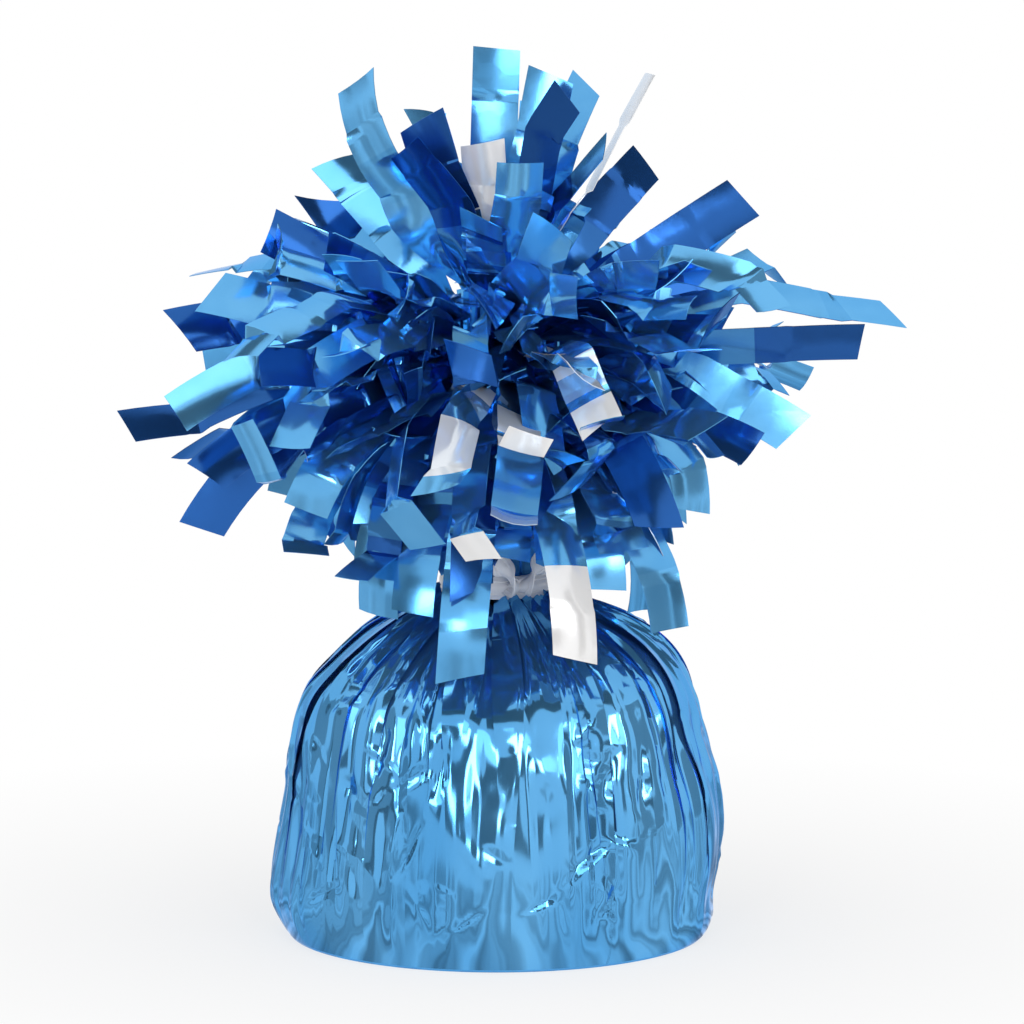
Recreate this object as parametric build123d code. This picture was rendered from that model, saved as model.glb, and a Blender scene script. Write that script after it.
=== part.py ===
from build123d import *

import math
import os

# A balloon weight: a bag of sand wrapped in one sheet of metallised film.
# The sheet is gathered into a neck, held by a twist tie, and its free edge
# is slit into strips that fan out as a tuft.
# Millimetres, +Z up, origin at the middle of the foot.

# Wrapped body
FOOT_RADIUS = 33.0
BELLY_RADIUS = 35.0
BELLY_HEIGHT = 10.0
SHOULDER_RADIUS = 31.4
SHOULDER_HEIGHT = 36.5
NECK_RADIUS = 8.6
NECK_HEIGHT = 54.5
WRAP_WALL = 0.4
PLEATS = 24
PLEAT_DEPTH = 1.3
EDGE_POWER = 4.0
FLANK_POWER = 1.6
SHOULDER_POWER = 2.1
PLEAT_POWER = 0.67
EDGE_STATIONS = 4
EDGE_CROWDING = 2.0
FLANK_STATIONS = 3
SHOULDER_STATIONS = 6
SHOULDER_CROWDING = 0.6

# Sand and the bag that holds it
SAND_HEIGHT = 35.0
SAND_CROWN = 4.0
SAND_CLEARANCE = 0.1
BAG_FILM = 0.3
BAG_CLEARANCE = 0.3
BAG_NECK_RADIUS = 4.0
BAG_NECK_LENGTH = 8.0
BAND_THICKNESS = 1.6
BAND_CLEARANCE = 0.1

# Gathered neck inside the tie, and the throat that bends above it
NECK_PINCH = 1.2
THROAT_LENGTH = 7.6

# Twist tie round the neck
TIE_TURN = 18.0
TIE_WIDTH = 3.6
TIE_THICKNESS = 0.9
TIE_CLEARANCE = 0.15
TIE_KNOT_LENGTH = 4.0
TIE_KNOT_WIDTH = 2.2
TIE_TAIL_LENGTH = 9.0
TIE_TAIL_SPREAD = 38.0
WIRE_DIAMETER = 0.5
WIRE_CLEARANCE = 0.02

# Stalk inside the tuft and the folded foot of each fringe panel
STALK_RADIUS = 6.2
STALK_BARE = 10.0
PANEL_TURN = 6.0
PANEL_HEIGHT = 25.0
PANEL_THICKNESS = 2.6
PANEL_GAP = 0.4
CROWN_HEIGHT = 1.6
CROWN_RADIUS = 5.6

# Strips of the fringe
STRIP_WIDTH = 7.5
STRIP_ROOT_WIDTH = 2.3
STRIP_FOIL = 0.25
STRIP_SPREAD = 0.38
ROOT_SINK = 0.6
TUFT_RISE = 25.5

PANEL_NAMES = ("right", "back_right", "back", "back_left",
               "left", "front_left", "front", "front_right")

# Creases across a strip: where they lie along it, and how far they turn it
CREASE_SHARES = (0.50, 0.76)
CREASE_DRIFT = 0.08
CREASE_PITCH = 18.0
CREASE_SHARP = 36.0
CREASE_ROLL = 26.0
PLACED_CREASE = 0.5
CROWN_CREASE = 0.45

# Rows of strips up a panel: share of the panel's height at the root, elevation
# of the tip seen from the tuft's middle, reach of the tip, start lift, and the
# share of the creases that fold down and up.
SKIRT_ROWS = ((0.08, -42.0, 35.5, 40.0, 0.4, 0.0),
              (0.24, -33.0, 36.0, 36.0, 0.4, 0.0))
UPPER_ROWS = ((0.42, -14.0, 47.0, 26.0, 1.0, 0.0),
              (0.60, 3.0, 54.0, 20.0, 1.0, 1.0),
              (0.78, 20.0, 53.0, 14.0, 1.0, 1.0),
              (0.95, 38.0, 49.0, 10.0, 0.0, 1.0))
STRIP_ROWS = SKIRT_ROWS + UPPER_ROWS
COLUMN_TURNS = (-13.0, 0.0, 13.0)
STEEP_COLUMN_SHARE = 0.55

# Strips that stand out of the outline, by panel, row and column:
# turn from the panel's middle, elevation, reach, start lift and roll.
PLACED = {
    ("left", 0, 0): (-13.0, -44.0, 28.0, 38.0, 20.0),
    ("left", 0, 1): (0.0, -46.0, 28.5, 38.0, -35.0),
    ("left", 0, 2): (13.0, -43.0, 29.0, 38.0, 10.0),
    ("left", 1, 0): (-12.0, -35.0, 30.5, 36.0, -30.0),
    ("left", 1, 1): (0.0, -32.0, 37.0, 36.0, 74.0),
    ("left", 1, 2): (12.0, -34.0, 30.5, 36.0, 40.0),
    ("left", 2, 0): (-13.0, -17.0, 36.0, 24.0, -55.0),
    ("left", 2, 1): (0.0, -17.5, 49.0, 26.0, -65.0),
    ("left", 2, 2): (12.0, -6.0, 48.0, 24.0, -70.0),
    ("left", 3, 0): (-13.0, 11.0, 47.0, 10.0, -62.0),
    ("left", 3, 1): (0.0, 2.0, 58.5, 14.0, -10.0),
    ("left", 4, 0): (-9.0, 24.0, 43.0, 12.0, 46.0),
    ("left", 4, 1): (0.0, 17.0, 52.5, 12.0, -48.0),
    ("left", 4, 2): (8.0, 27.0, 52.0, 12.0, -70.0),
    ("left", 5, 1): (0.0, 41.0, 48.5, 2.0, -68.0),
    ("back_left", 0, 2): (13.0, -42.0, 29.0, 40.0, -42.0),
    ("back_left", 1, 2): (13.0, -33.0, 30.0, 36.0, 12.0),
    ("back_left", 2, 2): (13.0, -13.0, 42.0, 26.0, -30.0),
    ("back_left", 5, 1): (-2.0, 49.0, 53.0, 4.0, -50.0),
    ("front_left", 0, 0): (-13.0, -40.0, 31.0, 40.0, -38.0),
    ("front_left", 0, 1): (-2.0, -44.0, 37.5, 40.0, -8.0),
    ("front_left", 0, 2): (14.0, -42.0, 38.0, 40.0, 6.0),
    ("front_left", 1, 0): (-13.0, -33.0, 30.0, 36.0, 16.0),
    ("front_left", 2, 0): (-13.0, -13.0, 39.0, 26.0, -26.0),
    ("front_left", 2, 1): (0.0, 0.0, 45.0, 22.0, 30.0),
    ("front", 0, 0): (-14.0, -44.5, 48.0, 42.0, 4.0),
    ("front", 0, 2): (14.0, -41.5, 46.5, 42.0, -6.0),
    ("front_right", 0, 1): (-5.0, -36.0, 46.5, 38.0, 18.0),
    ("front_right", 1, 2): (12.0, -33.0, 31.0, 34.0, -36.0),
    ("front_right", 2, 0): (-13.0, -13.0, 42.0, 26.0, 28.0),
    ("front_right", 2, 1): (0.0, -6.0, 34.0, 22.0, -24.0),
    ("front_right", 2, 2): (13.0, -19.0, 35.0, 26.0, -42.0),
    ("front_right", 3, 1): (0.0, 1.0, 44.0, 20.0, -10.0),
    ("front_right", 3, 2): (11.0, 1.0, 45.0, 22.0, 52.0),
    ("right", 0, 0): (-13.0, -43.0, 29.0, 38.0, 25.0),
    ("right", 0, 1): (0.0, -45.0, 30.0, 38.0, -50.0),
    ("right", 0, 2): (13.0, -44.0, 28.0, 38.0, -20.0),
    ("right", 1, 0): (-12.0, -34.0, 30.0, 34.0, -45.0),
    ("right", 1, 1): (0.0, -33.0, 31.0, 34.0, 60.0),
    ("right", 1, 2): (12.0, -35.0, 29.5, 34.0, 40.0),
    ("right", 2, 0): (-12.0, -22.0, 33.0, 30.0, 50.0),
    ("right", 2, 1): (0.0, -24.0, 31.5, 30.0, 66.0),
    ("right", 2, 2): (12.0, -17.0, 34.0, 28.0, -30.0),
    ("right", 3, 0): (-12.0, 1.0, 47.0, 14.0, 66.0),
    ("right", 3, 1): (0.0, 9.0, 45.5, 16.0, 58.0),
    ("right", 4, 0): (-8.0, 13.5, 59.0, 5.0, -62.0),
    ("right", 4, 1): (0.0, 15.0, 65.0, 7.0, 30.0),
    ("right", 4, 2): (9.0, 31.0, 55.5, 8.0, 48.0),
    ("right", 5, 0): (-6.0, 37.0, 43.0, 6.0, 40.0),
    ("right", 5, 1): (0.0, 43.0, 53.5, 2.0, 66.0),
    ("back_right", 2, 0): (-12.0, -13.0, 39.0, 28.0, -35.0),
    ("back_right", 3, 2): (12.5, 9.0, 53.0, 20.0, -30.0),
    ("back_right", 5, 1): (0.0, 46.0, 55.0, 8.0, 40.0),
}

# Crown strips: azimuth, elevation, reach, start lift and roll.
CROWN_STRIPS = (
    (184.0, 68.0, 60.0, -36.0, 66.0),
    (215.0, 74.0, 52.0, 6.0, 40.0),
    (160.0, 77.0, 50.0, 5.0, 25.0),
    (250.0, 82.0, 47.0, 4.0, 10.0),
    (95.0, 86.0, 60.0, 3.0, 0.0),
    (20.0, 81.0, 57.0, 3.0, 55.0),
    (-3.0, 77.0, 54.5, 4.0, 56.0),
    (40.0, 71.0, 57.0, 6.0, 30.0),
    (12.0, 68.5, 61.5, 3.0, -12.0),
    (-26.0, 70.0, 50.0, 5.0, 36.0),
    (-75.0, 72.0, 46.0, 6.0, -15.0),
    (130.0, 69.0, 53.0, 6.0, 20.0),
    (70.0, 69.0, 54.0, 6.0, -25.0),
    (-140.0, 68.0, 50.0, 6.0, 30.0),
)
CROWN_ROOT_SHARE = 0.62

# Shorter strips that fill each panel and the crown: middle and spread of their
# root's share, turn, elevation, reach, start lift and roll.
FILLERS = 10
FILLER_SHARE = (0.70, 0.25)
FILLER_TURN = 15.0
FILLER_ELEVATION = (20.0, 24.0, 6.0)
FILLER_REACH = (36.0, 7.0)
FILLER_LIFT = (18.0, 10.0)
FILLER_ROLL = 75.0
CROWN_FILLERS = 8
CROWN_FILLER_ELEVATION = (78.0, 5.0)
CROWN_FILLER_REACH = (38.0, 5.0)
CROWN_FILLER_LIFT = 10.0

# Spread of the free strips about their row's values
GOLDEN = (math.sqrt(5.0) - 1.0) / 2.0
ELEVATION_SPREAD = 4.0
REACH_SPREAD = 3.5
ROLL_SPREAD = 48.0

STANDING = (Align.CENTER, Align.CENTER, Align.MIN)


def wobble(seed, spread):
    """An even, repeatable spread of values between -spread and +spread."""
    return spread * (2.0 * ((seed * GOLDEN) % 1.0) - 1.0)


def polar(radius, degrees, height=0.0):
    angle = math.radians(degrees)
    return Vector(radius * math.cos(angle), radius * math.sin(angle), height)


# Profile of the wrapped body
def wrap_radius(height):
    if height <= BELLY_HEIGHT:
        rise = 1.0 - height / BELLY_HEIGHT
        return BELLY_RADIUS - (BELLY_RADIUS - FOOT_RADIUS) * rise ** EDGE_POWER
    if height <= SHOULDER_HEIGHT:
        rise = (height - BELLY_HEIGHT) / (SHOULDER_HEIGHT - BELLY_HEIGHT)
        return BELLY_RADIUS - (BELLY_RADIUS - SHOULDER_RADIUS) * rise ** FLANK_POWER
    rise = min((height - SHOULDER_HEIGHT) / (NECK_HEIGHT - SHOULDER_HEIGHT), 1.0)
    return NECK_RADIUS + (SHOULDER_RADIUS - NECK_RADIUS) * (1.0 - rise ** SHOULDER_POWER)


def pleat_depth(height):
    rise = max(0.0, height - BELLY_HEIGHT) / (NECK_HEIGHT - BELLY_HEIGHT)
    return PLEAT_DEPTH * min(rise, 1.0) ** PLEAT_POWER


def cavity_radius(height):
    return wrap_radius(height) - pleat_depth(height) / 2.0 - WRAP_WALL


def heights_between(low, high, count, crowding):
    return [low + (high - low) * (i / count) ** crowding for i in range(count)]


def body_heights():
    edge = heights_between(0.0, BELLY_HEIGHT, EDGE_STATIONS, EDGE_CROWDING)
    flank = heights_between(BELLY_HEIGHT, SHOULDER_HEIGHT, FLANK_STATIONS, 1.0)
    shoulder = heights_between(SHOULDER_HEIGHT, NECK_HEIGHT, SHOULDER_STATIONS, SHOULDER_CROWDING)
    return edge + flank + shoulder + [NECK_HEIGHT]


def pleated_ring(radius, depth, height):
    """A closed outline with a crest and a valley for each pleat."""
    corners = []
    for i in range(2 * PLEATS):
        side = 1 if i % 2 == 0 else -1
        corners.append(polar(radius + side * depth / 2.0, 180.0 * i / PLEATS, height))
    return Wire.make_polygon(corners, close=True)


def pleated_column(stations):
    """A ruled solid through (height, radius, depth) stations."""
    rings = [pleated_ring(radius, depth, height) for height, radius, depth in stations]
    return Solid.make_loft(rings, ruled=True)


def turned(points):
    """A solid turned about Z from (radius, height) points, closed on the axis."""
    outline = Polyline([(radius, 0.0, height) for radius, height in points], close=True)
    return revolve(make_face(outline), Axis.Z)


def make_foil_wrap():
    heights = body_heights()
    skin = pleated_column([(z, wrap_radius(z), pleat_depth(z)) for z in heights])
    inside = [WRAP_WALL] + [z for z in heights if z > WRAP_WALL]
    walls = [(cavity_radius(z), z) for z in inside]
    return skin - turned([(0.0, WRAP_WALL)] + walls + [(0.0, NECK_HEIGHT)])


# Sand, bag and band
def bag_points(inset, floor, top):
    """Outline of a fill that keeps an inset from the wrap's inside, with a low heap on top."""
    heights = [floor] + [z for z in body_heights() if floor < z < SAND_HEIGHT] + [SAND_HEIGHT]
    sides = [(cavity_radius(z) - inset, z) for z in heights]
    return [(0.0, floor)] + sides + [(0.0, top)]


BAG_FLOOR = WRAP_WALL + BAG_CLEARANCE
SAND_FLOOR = BAG_FLOOR + BAG_FILM + SAND_CLEARANCE
SAND_TOP = SAND_HEIGHT + SAND_CROWN
BAG_TOP = SAND_TOP + SAND_CLEARANCE + BAG_FILM


def make_sand_fill():
    return turned(bag_points(BAG_CLEARANCE + BAG_FILM + SAND_CLEARANCE, SAND_FLOOR, SAND_TOP))


def make_sand_bag():
    outer = turned(bag_points(BAG_CLEARANCE, BAG_FLOOR, BAG_TOP + BAG_FILM))
    inner = turned(bag_points(BAG_CLEARANCE + BAG_FILM, BAG_FLOOR + BAG_FILM, BAG_TOP))
    gather = Cylinder(BAG_NECK_RADIUS, BAG_NECK_LENGTH, align=STANDING)
    return outer - inner + Pos(0, 0, BAG_TOP) * gather


def make_bag_band():
    ring = BAG_NECK_RADIUS + BAND_CLEARANCE + BAND_THICKNESS / 2.0
    return Pos(0, 0, BAG_TOP + BAG_NECK_LENGTH / 2.0) * Torus(ring, BAND_THICKNESS / 2.0)


# Neck and twist tie
NECK_TOP = NECK_HEIGHT + TIE_WIDTH + 2.0 * TIE_CLEARANCE
THROAT_TOP = NECK_TOP + THROAT_LENGTH
TIE_HEIGHT = (NECK_HEIGHT + NECK_TOP) / 2.0
TIE_INNER = NECK_RADIUS - NECK_PINCH + PLEAT_DEPTH / 2.0 + TIE_CLEARANCE
TIE_OUTER = TIE_INNER + TIE_THICKNESS
WIRE_RING = (TIE_INNER + TIE_OUTER) / 2.0


def make_foil_neck():
    pinched = NECK_RADIUS - NECK_PINCH
    return pleated_column([(z, pinched, PLEAT_DEPTH) for z in (NECK_HEIGHT, NECK_TOP)])


def make_foil_throat():
    pinched = NECK_RADIUS - NECK_PINCH
    return pleated_column([(NECK_TOP, pinched, PLEAT_DEPTH), (THROAT_TOP, STALK_RADIUS, PLEAT_DEPTH)])


def tail_plane(side):
    """Where a flat tail leaves the knot, with its length along Z and its face to the front."""
    lean = math.radians(side * TIE_TAIL_SPREAD)
    start = (0.0, -TIE_OUTER - TIE_KNOT_LENGTH + TIE_THICKNESS, TIE_HEIGHT)
    return Plane(origin=start, x_dir=(0, -1, 0), z_dir=(math.sin(lean), 0.0, math.cos(lean)))


def tail_rod(side, diameter, trim):
    start = TIE_WIDTH + trim
    rod = Cylinder(diameter / 2.0, TIE_TAIL_LENGTH - start - trim, align=STANDING)
    return tail_plane(side) * Pos(0, 0, start) * rod


def make_twist_tie():
    bore = WIRE_DIAMETER + 2.0 * WIRE_CLEARANCE
    loop = Cylinder(TIE_OUTER, TIE_WIDTH) - Cylinder(TIE_INNER, TIE_WIDTH)
    knot = Pos(0, -TIE_OUTER - (TIE_KNOT_LENGTH - TIE_THICKNESS) / 2.0, 0)
    loop += knot * Box(TIE_KNOT_WIDTH, TIE_KNOT_LENGTH, TIE_WIDTH)
    loop -= Torus(WIRE_RING, bore / 2.0)
    tie = Pos(0, 0, TIE_HEIGHT) * loop
    for side in (-1, 1):
        tie += tail_plane(side) * Box(TIE_THICKNESS, TIE_WIDTH, TIE_TAIL_LENGTH, align=STANDING)
    for side in (-1, 1):
        tie -= tail_rod(side, bore, 0.0)
    return Rot(0, 0, TIE_TURN) * tie


def make_tie_wire():
    hoop = Pos(0, 0, TIE_HEIGHT) * Torus(WIRE_RING, WIRE_DIAMETER / 2.0)
    tails = [tail_rod(side, WIRE_DIAMETER, WIRE_CLEARANCE) for side in (-1, 1)]
    return Rot(0, 0, TIE_TURN) * Compound(children=[hoop] + tails)


# Stalk, panels and strips
PANEL_LOW = THROAT_TOP + STALK_BARE
PANEL_STEP = 360.0 / len(PANEL_NAMES)
HALF_WEDGE = PANEL_STEP / 2.0
PANEL_TOP = PANEL_LOW + PANEL_HEIGHT
PANEL_INNER = STALK_RADIUS + PLEAT_DEPTH / 2.0 + PANEL_GAP
PANEL_OUTER = PANEL_INNER + PANEL_THICKNESS
SKIRT_SHARE = (SKIRT_ROWS[-1][0] + UPPER_ROWS[0][0]) / 2.0
TUFT_MIDDLE = NECK_HEIGHT + TUFT_RISE


def make_foil_stalk():
    ends = (THROAT_TOP, PANEL_TOP)
    return pleated_column([(z, STALK_RADIUS, PLEAT_DEPTH) for z in ends])


def creases(number, down, up):
    """Share along the strip, pitch and roll of each crease of a numbered strip."""
    found = []
    for i, middle in enumerate(CREASE_SHARES):
        seed = number * len(CREASE_SHARES) + i
        bold = wobble(seed, 1.0)
        pitch = (CREASE_PITCH + CREASE_SHARP * bold * bold) * bold
        found.append((middle + wobble(2 * seed + 1, CREASE_DRIFT),
                      math.radians(pitch * (up if pitch > 0.0 else down)),
                      math.radians(wobble(3 * seed + 2, CREASE_ROLL) * max(up, down))))
    return found


def strip_stations(folds):
    """Shares along a strip where its sections stand: evenly at the root, then at each crease."""
    first, second = (fold[0] for fold in folds)
    return (0.0, STRIP_SPREAD / 2.0, STRIP_SPREAD, first, second, (1.0 + second) / 2.0, 1.0)


def turned_so_far(folds, share, column):
    """How far the creases up to a share have turned a strip, half of it on the crease itself."""
    return sum(fold[column] * (0.5 if fold[0] == share else float(fold[0] < share)) for fold in folds)


def strip_path(folds, bend, run, rise):
    """Stations, places and headings of a creased arc in the upright plane, from (0, 0) to (run, rise)."""
    shares = strip_stations(folds)
    places = [(0.0, 0.0)]
    for low, high in zip(shares, shares[1:]):
        middle = (low + high) / 2.0
        heading = bend * (1.0 - 2.0 * middle) + turned_so_far(folds, middle, 1)
        x, z = places[-1]
        places.append((x + math.cos(heading) * (high - low), z + math.sin(heading) * (high - low)))
    x, z = places[-1]
    turn = math.atan2(rise, run) - math.atan2(z, x)
    size = math.hypot(run, rise) / math.hypot(x, z)
    c, s = size * math.cos(turn), size * math.sin(turn)
    places = [(c * x - s * z, s * x + c * z) for x, z in places]
    headings = [turn + bend * (1.0 - 2.0 * share) + turned_so_far(folds, share, 1) for share in shares]
    return shares, places, headings


def strip_solid(root, azimuth, elevation, reach, lift, roll, folds, edge_turn=90.0):
    """One foil strip: a creased arc from its root to its tip, narrow at the root, then rolled.

    It is no wider than the room up to its panel's edge, which lies edge_turn degrees away.
    """
    outward = polar(1.0, azimuth)
    across = Vector(-outward.Y, outward.X, 0.0)
    up = Vector(0, 0, 1)
    tip = polar(reach * math.cos(math.radians(elevation)), azimuth,
                TUFT_MIDDLE + reach * math.sin(math.radians(elevation)))
    path = strip_path(folds, math.radians(lift), (tip - root).dot(outward), tip.Z - root.Z)
    sections = []
    for share, (x, z), heading in zip(*path):
        place = root + outward * x + up * z
        face = up * math.cos(heading) - outward * math.sin(heading)
        opened = min(1.0, share / STRIP_SPREAD)
        turn = math.radians(roll) * opened + turned_so_far(folds, share, 2)
        side = across * math.cos(turn) + face * math.sin(turn)
        normal = face * math.cos(turn) - across * math.sin(turn)
        width = STRIP_ROOT_WIDTH + (STRIP_WIDTH - STRIP_ROOT_WIDTH) * opened
        room = place.dot(outward) * math.sin(math.radians(edge_turn)) - PANEL_GAP
        half = side * min(width / 2.0, room)
        skin = normal * (STRIP_FOIL / 2.0)
        corners = (place - half - skin, place + half - skin, place + half + skin, place - half + skin)
        sections.append(Wire.make_polygon(corners, close=True))
    return Solid.make_loft(sections, ruled=True)


def strip_shape(panel, row, column):
    """Turn, elevation, reach, start lift, roll and creases of one strip of a panel."""
    number = (panel * len(STRIP_ROWS) + row) * len(COLUMN_TURNS) + column
    elevation, reach, lift, down, up = STRIP_ROWS[row][1:]
    placed = PLACED.get((PANEL_NAMES[panel], row, column))
    if placed:
        return placed + (creases(number, down * PLACED_CREASE, up * PLACED_CREASE),)
    steep = max(0.0, elevation) / UPPER_ROWS[-1][1]
    turn = COLUMN_TURNS[column] * (1.0 - steep * (1.0 - STEEP_COLUMN_SHARE))
    return (turn,
            elevation + wobble(number, ELEVATION_SPREAD),
            reach + wobble(2 * number + 1, REACH_SPREAD),
            lift,
            wobble(3 * number + 2, ROLL_SPREAD),
            creases(number, down, up))


def filler_shape(number):
    """Root's share, turn, elevation, reach, start lift, roll and creases of one short strip."""
    rise = wobble(number, 1.0)
    return (FILLER_SHARE[0] + FILLER_SHARE[1] * rise,
            wobble(2 * number + 1, FILLER_TURN),
            FILLER_ELEVATION[0] + FILLER_ELEVATION[1] * rise + wobble(3 * number + 2, FILLER_ELEVATION[2]),
            FILLER_REACH[0] + wobble(5 * number + 3, FILLER_REACH[1]),
            FILLER_LIFT[0] + wobble(7 * number + 4, FILLER_LIFT[1]),
            wobble(11 * number + 5, FILLER_ROLL),
            creases(number, 1.0, 1.0))


def panel_foot(panel, low_share, high_share):
    """The folded foot of a panel: a slice of the ring round the stalk."""
    low = PANEL_LOW + PANEL_HEIGHT * low_share
    height = PANEL_HEIGHT * (high_share - low_share)
    slice_ = Cylinder(PANEL_OUTER, height, align=STANDING) - Cylinder(PANEL_INNER, height, align=STANDING)
    for square in (90.0 - HALF_WEDGE, HALF_WEDGE - 90.0):
        edge = Plane(origin=polar(PANEL_GAP / 2.0, square), z_dir=polar(1.0, square))
        slice_ = split(slice_, edge, keep=Keep.TOP)
    return Rot(0, 0, panel_azimuth(panel)) * Pos(0, 0, low) * slice_


def panel_azimuth(panel):
    return panel * PANEL_STEP + PANEL_TURN


def panel_strip(panel, root_share, turn, *shape):
    azimuth = panel_azimuth(panel) + turn
    root = polar(PANEL_OUTER - ROOT_SINK, azimuth, PANEL_LOW + PANEL_HEIGHT * root_share)
    return strip_solid(root, azimuth, *shape, edge_turn=HALF_WEDGE - abs(turn))


def make_panel(panel, first_row, rows, fillers, low_share, high_share):
    pieces = []
    for row in range(first_row, first_row + len(rows)):
        for column in range(len(COLUMN_TURNS)):
            pieces.append(panel_strip(panel, STRIP_ROWS[row][0], *strip_shape(panel, row, column)))
    for i in range(fillers):
        pieces.append(panel_strip(panel, *filler_shape(panel * fillers + i)))
    return panel_foot(panel, low_share, high_share).fuse(*pieces)


def make_skirt(panel):
    return make_panel(panel, 0, SKIRT_ROWS, 0, 0.0, SKIRT_SHARE)


def make_fringe(panel):
    return make_panel(panel, len(SKIRT_ROWS), UPPER_ROWS, FILLERS, SKIRT_SHARE, 1.0)


def crown_filler(number):
    """Azimuth, elevation, reach, start lift and roll of one short strip of the crown."""
    return (360.0 * GOLDEN * number,
            CROWN_FILLER_ELEVATION[0] + wobble(2 * number + 1, CROWN_FILLER_ELEVATION[1]),
            CROWN_FILLER_REACH[0] + wobble(3 * number + 2, CROWN_FILLER_REACH[1]),
            wobble(5 * number + 3, CROWN_FILLER_LIFT),
            wobble(7 * number + 4, FILLER_ROLL))


def make_crown():
    cap = Pos(0, 0, PANEL_TOP) * Cylinder(CROWN_RADIUS, CROWN_HEIGHT, align=STANDING)
    pieces = []
    shapes = CROWN_STRIPS + tuple(crown_filler(i) for i in range(CROWN_FILLERS))
    for number, (azimuth, *shape) in enumerate(shapes):
        root = polar(CROWN_RADIUS * CROWN_ROOT_SHARE, azimuth, PANEL_TOP + CROWN_HEIGHT - ROOT_SINK)
        pieces.append(strip_solid(root, azimuth, *shape, creases(number, CROWN_CREASE, CROWN_CREASE)))
    return cap.fuse(*pieces)


def main():
    parts = {
        "sand_fill": make_sand_fill(),
        "sand_bag": make_sand_bag(),
        "bag_band": make_bag_band(),
        "foil_wrap": make_foil_wrap(),
        "foil_neck": make_foil_neck(),
        "foil_throat": make_foil_throat(),
        "twist_tie": make_twist_tie(),
        "tie_wire": make_tie_wire(),
        "foil_stalk": make_foil_stalk(),
        "fringe_crown": make_crown(),
    }
    for panel, name in enumerate(PANEL_NAMES):
        parts["skirt_" + name] = make_skirt(panel)
        parts["fringe_" + name] = make_fringe(panel)
    os.makedirs("parts", exist_ok=True)
    for name, shape in parts.items():
        export_step(shape, os.path.join("parts", name + ".step"))
        print(name, len(shape.solids()), round(shape.volume, 1))


main()
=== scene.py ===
"""Foil balloon weight: a pleated film wrap round a bag of sand, a tied neck and a tuft of cut strips."""

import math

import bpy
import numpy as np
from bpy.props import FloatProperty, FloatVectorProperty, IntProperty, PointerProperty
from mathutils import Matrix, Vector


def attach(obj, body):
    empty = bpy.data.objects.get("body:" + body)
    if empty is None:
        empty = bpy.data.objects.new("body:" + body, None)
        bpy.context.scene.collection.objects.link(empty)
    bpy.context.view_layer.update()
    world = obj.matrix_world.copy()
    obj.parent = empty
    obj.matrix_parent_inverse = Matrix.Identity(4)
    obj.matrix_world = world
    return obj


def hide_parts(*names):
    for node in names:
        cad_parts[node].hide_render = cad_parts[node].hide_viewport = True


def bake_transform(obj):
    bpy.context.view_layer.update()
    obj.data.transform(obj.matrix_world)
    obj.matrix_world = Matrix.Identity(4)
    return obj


bl_info = {
    "name": "Foil balloon weight",
    "version": (1, 0, 0),
    "blender": (4, 5, 0),
    "location": "3D View > Sidebar > Weight",
    "description": "Dresses a balloon weight: film wrap, gathered neck, twist tie and tuft of strips",
    "category": "Add Mesh",
}

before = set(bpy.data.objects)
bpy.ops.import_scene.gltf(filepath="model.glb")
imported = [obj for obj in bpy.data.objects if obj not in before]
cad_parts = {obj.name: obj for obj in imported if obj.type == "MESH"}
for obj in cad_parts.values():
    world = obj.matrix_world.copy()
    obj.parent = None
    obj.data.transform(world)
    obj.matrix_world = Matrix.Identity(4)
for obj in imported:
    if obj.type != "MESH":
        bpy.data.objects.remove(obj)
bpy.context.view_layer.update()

MM = 0.001

# Sizes of the wrapped body, in millimetres
FOOT_RADIUS = 33.0
BELLY_RADIUS = 35.0
BELLY_HEIGHT = 10.0
SHOULDER_RADIUS = 31.4
SHOULDER_HEIGHT = 36.5
NECK_RADIUS = 8.6
NECK_HEIGHT = 54.5
EDGE_POWER = 4.0
FLANK_POWER = 1.6
SHOULDER_POWER = 2.1
PLEAT_DEPTH = 1.3
PLEAT_POWER = 0.67
WRAP_WALL = 0.4
ROUNDING = 3.0

# Sand, bag and band, in millimetres
SAND_HEIGHT = 35.0
SAND_CROWN = 4.0
BAG_INSET = 2.1
SAND_INSET = 0.7
BAG_NECK_RADIUS = 4.0
BAG_NECK_LENGTH = 8.0
BAND_THICKNESS = 1.6

# Neck, throat and stalk, in millimetres
NECK_BUNDLE = 7.4
NECK_TOP = 58.4
THROAT_MIDDLE = 62.2
THROAT_TOP = 66.0
STALK_RADIUS = 6.2
PANEL_LOW = 76.0
PANEL_HEIGHT = 25.0
PANEL_TOP = PANEL_LOW + PANEL_HEIGHT
PANEL_INNER = 7.25
PANEL_OUTER = 9.85
PANEL_GAP = 0.4
PANEL_TURN = 6.0
CROWN_HEIGHT = 1.6
CROWN_RADIUS = 5.6
CROWN_ROOT_SHARE = 0.62

# Twist tie, in millimetres and degrees
TIE_HEIGHT = 56.45
TIE_INNER = 8.2
TIE_OUTER = 9.1
TIE_WIDTH = 3.6
TIE_TURN = 18.0
TIE_KNOT_LENGTH = 4.0
TIE_TAIL_LENGTH = 9.0
TIE_TAIL_SPREAD = 38.0

# Strips of the tuft, in millimetres and degrees
STRIP_SPREAD = 0.38
ROOT_SINK = 0.6
TUFT_MIDDLE = 80.0
PANEL_NAMES = ("right", "back_right", "back", "back_left",
               "left", "front_left", "front", "front_right")
PANEL_STEP = 360.0 / len(PANEL_NAMES)
HALF_WEDGE = PANEL_STEP / 2.0
SKIRT_SHARE = 0.33

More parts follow.
